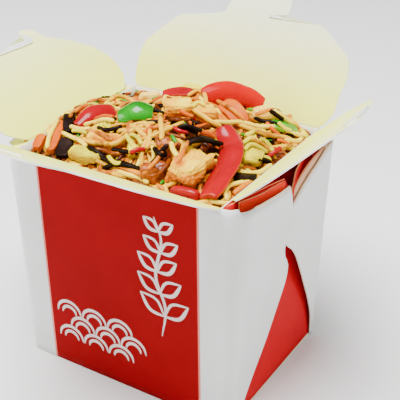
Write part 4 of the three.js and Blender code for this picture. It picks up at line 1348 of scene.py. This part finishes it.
def build_floor(stage):
    """A plain pale table, a little below the box so that the two don't share a face."""
    bm = bmesh.new()
    bmesh.ops.create_grid(bm, x_segments=2, y_segments=2, size=TABLE_HALF)
    bmesh.ops.translate(bm, verts=bm.verts[:], vec=(0, 0, -TABLE_DROP))
    mesh = bpy.data.meshes.new("floor")
    bm.to_mesh(mesh)
    bm.free()
    floor = bpy.data.objects.new("floor", mesh)
    bpy.context.scene.collection.objects.link(floor)
    paint = Shader("Pale table", tuple(stage.floor_color), 0.6)
    tone = Vector(stage.floor_color)
    paint.color(paint.ramp(paint.noise(8, 3), [(0.3, tone * 0.985), (0.7, tone)]))
    mesh.materials.append(paint.material)


def area_light(name, place, size, power):
    data = bpy.data.lights.new(name, "AREA")
    data.shape, data.size, data.energy = "SQUARE", size, power
    light = bpy.data.objects.new(name, data)
    light.location = place
    light.rotation_euler = (Vector(LIGHT_AIM) - Vector(place)).to_track_quat("-Z", "Y").to_euler()
    bpy.context.scene.collection.objects.link(light)


def build_lights(stage):
    """Even light from all sides, a soft key overhead and a weak fill from each side."""
    world = bpy.data.worlds.new("Studio")
    bpy.context.scene.world = world
    world.use_nodes = True
    background = world.node_tree.nodes["Background"]
    background.inputs["Color"].default_value = (1, 1, 1, 1)
    background.inputs["Strength"].default_value = stage.sky
    area_light("key", (-0.05, -0.2, 1.15), 0.7, stage.key)
    area_light("front", (-0.95, -0.65, 0.45), 0.6, stage.key * FILL_SHARE)
    area_light("side", (1.1, 0.6, 0.4), 0.6, stage.key * FILL_SHARE)


def build_camera(stage):
    data = bpy.data.cameras.new("camera")
    data.sensor_fit, data.sensor_width, data.lens = "HORIZONTAL", 36, stage.lens
    data.clip_start, data.clip_end = 0.01, 20
    camera = bpy.data.objects.new("camera", data)
    right, up, back = Vector(CAMERA_RIGHT), Vector(CAMERA_UP), -Vector(CAMERA_FORWARD)
    turn = Matrix((right, up, back)).transposed().to_4x4()
    camera.matrix_world = Matrix.Translation(CAMERA_PLACE) @ turn
    bpy.context.scene.collection.objects.link(camera)
    bpy.context.scene.camera = camera


# ---------------------------------------------------------------- add-on

class CartonSettings(bpy.types.PropertyGroup):
    print_color: FloatVectorProperty(
        name="Print colour", description="Colour of the printed front and sides",
        subtype="COLOR", size=3, min=0, max=1, default=(0.28, 0.001, 0.004))


class FoodSettings(bpy.types.PropertyGroup):
    noodle_color: FloatVectorProperty(
        name="Noodle colour", description="Colour of the palest common noodle",
        subtype="COLOR", size=3, min=0, max=1, default=(0.84, 0.45, 0.002))
    noodle_radius: FloatProperty(
        name="Noodle radius", description="Half the thickness of a noodle, in millimetres",
        min=0.6, max=2.5, default=0.98)
    noodle_count: IntProperty(
        name="Noodles", description="Number of separate noodles on the heap",
        min=50, max=600, default=400)
    seed: IntProperty(
        name="Seed", description="Start of the random layout of the noodles", min=0, default=7)


class StageSettings(bpy.types.PropertyGroup):
    floor_color: FloatVectorProperty(
        name="Floor colour", description="Colour of the table",
        subtype="COLOR", size=3, min=0, max=1, default=(0.93, 0.93, 0.92))
    key: FloatProperty(
        name="Key light", description="Power of the main light overhead", subtype="POWER",
        unit="POWER", min=0, default=42)
    sky: FloatProperty(
        name="Sky light", description="Strength of the even light from all sides", min=0, default=0.16)
    lens: FloatProperty(
        name="Lens", description="Focal length for a 36 mm sensor, in millimetres", min=10, default=82.87)


class NOODLEBOX_OT_materials(bpy.types.Operator):
    """Make the board, print and food materials"""
    bl_idname = "noodlebox.materials"
    bl_label = "Materials"

    def execute(self, context):
        make_materials(context.scene.noodlebox_carton, context.scene.noodlebox_food)
        return {"FINISHED"}


class NOODLEBOX_OT_carton(bpy.types.Operator):
    """Fold the carton: wrapped panels, gussets, side panels and floor"""
    bl_idname = "noodlebox.carton"
    bl_label = "Carton"

    def execute(self, context):
        wrapped_panel("front_panel", wrap_columns(front_fold, FRONT_EDGE, 0), 1)
        wrapped_panel("back_panel", wrap_columns(lambda z: -back_fold(z), BACK_EDGE, BOARD / 2), -1)
        build_carton_sides()
        build_gusset_edges()
        build_linings()
        build_floor_panel()
        return {"FINISHED"}


class NOODLEBOX_OT_flaps(bpy.types.Operator):
    """Finish the closure flaps and the creases they turn on"""
    bl_idname = "noodlebox.flaps"
    bl_label = "Flaps"

    def execute(self, context):
        build_flaps()
        build_creases()
        return {"FINISHED"}


class NOODLEBOX_OT_motif(bpy.types.Operator):
    """Print the wave and leaf ornament on the front panel"""
    bl_idname = "noodlebox.motif"
    bl_label = "Printed ornament"

    def execute(self, context):
        build_motif()
        return {"FINISHED"}


class NOODLEBOX_OT_peppers(bpy.types.Operator):
    """Lay the strips of red and green pepper"""
    bl_idname = "noodlebox.peppers"
    bl_label = "Peppers"

    def execute(self, context):
        for seed, (name, shape) in enumerate(PEPPER_STRIPS.items()):
            TOPPINGS.append(strip_piece(name, seed=seed * 5, **shape))
        return {"FINISHED"}


class NOODLEBOX_OT_vegetables(bpy.types.Operator):
    """Lay the carrot, mushroom, onion, cabbage and tomato pieces"""
    bl_idname = "noodlebox.vegetables"
    bl_label = "Vegetables"

    def execute(self, context):
        for seed, (name, shape) in enumerate(OTHER_STRIPS.items()):
            TOPPINGS.append(strip_piece(name, seed=40 + seed * 5, **shape))
        for name, shape in VEGETABLE_LUMPS.items():
            TOPPINGS.append(lump_piece(name, detail=5, **shape))
        return {"FINISHED"}


class NOODLEBOX_OT_chicken(bpy.types.Operator):
    """Lay the pieces of chicken and browned meat"""
    bl_idname = "noodlebox.chicken"
    bl_label = "Chicken"

    def execute(self, context):
        for name, shape in CHICKEN_LUMPS.items():
            TOPPINGS.append(lump_piece(name, **shape))
        return {"FINISHED"}


class NOODLEBOX_OT_noodles(bpy.types.Operator):
    """Heap the noodles round and under the toppings"""
    bl_idname = "noodlebox.noodles"
    bl_label = "Noodles"

    def execute(self, context):
        food = context.scene.noodlebox_food
        build_painted_shade_core()
        build_noodles(food)
        build_draped(food)
        build_shreds(food)
        return {"FINISHED"}


class NOODLEBOX_OT_stage(bpy.types.Operator):
    """Set the floor, the lights and the camera"""
    bl_idname = "noodlebox.stage"
    bl_label = "Stage"

    def execute(self, context):
        stage = context.scene.noodlebox_stage
        build_camera(stage)
        build_floor(stage)
        build_lights(stage)
        return {"FINISHED"}


STEPS = ("materials", "carton", "flaps", "motif", "peppers", "vegetables", "chicken", "noodles", "stage")


class NOODLEBOX_PT_panel(bpy.types.Panel):
    """Sizes, colours and steps of the noodle box"""
    bl_label = "Noodle Box"
    bl_idname = "NOODLEBOX_PT_panel"
    bl_space_type = "VIEW_3D"
    bl_region_type = "UI"
    bl_category = "Noodle Box"

    def draw(self, context):
        for group in ("noodlebox_carton", "noodlebox_food", "noodlebox_stage"):
            settings = getattr(context.scene, group)
            for name in settings.bl_rna.properties.keys():
                if name not in ("rna_type", "name"):
                    self.layout.prop(settings, name)
        for step in STEPS:
            self.layout.operator("noodlebox." + step)


CLASSES = (
    CartonSettings, FoodSettings, StageSettings,
    NOODLEBOX_OT_materials, NOODLEBOX_OT_carton, NOODLEBOX_OT_flaps, NOODLEBOX_OT_motif,
    NOODLEBOX_OT_peppers, NOODLEBOX_OT_vegetables, NOODLEBOX_OT_chicken, NOODLEBOX_OT_noodles,
    NOODLEBOX_OT_stage, NOODLEBOX_PT_panel,
)


def register():
    for cls in CLASSES:
        bpy.utils.register_class(cls)
    bpy.types.Scene.noodlebox_carton = PointerProperty(type=CartonSettings)
    bpy.types.Scene.noodlebox_food = PointerProperty(type=FoodSettings)
    bpy.types.Scene.noodlebox_stage = PointerProperty(type=StageSettings)


def unregister():
    del bpy.types.Scene.noodlebox_stage
    del bpy.types.Scene.noodlebox_food
    del bpy.types.Scene.noodlebox_carton
    for cls in reversed(CLASSES):
        bpy.utils.unregister_class(cls)


def main():
    register()
    for step in STEPS:
        getattr(bpy.ops.noodlebox, step)()
    bpy.context.view_layer.update()


if __name__ == "__main__":
    main()
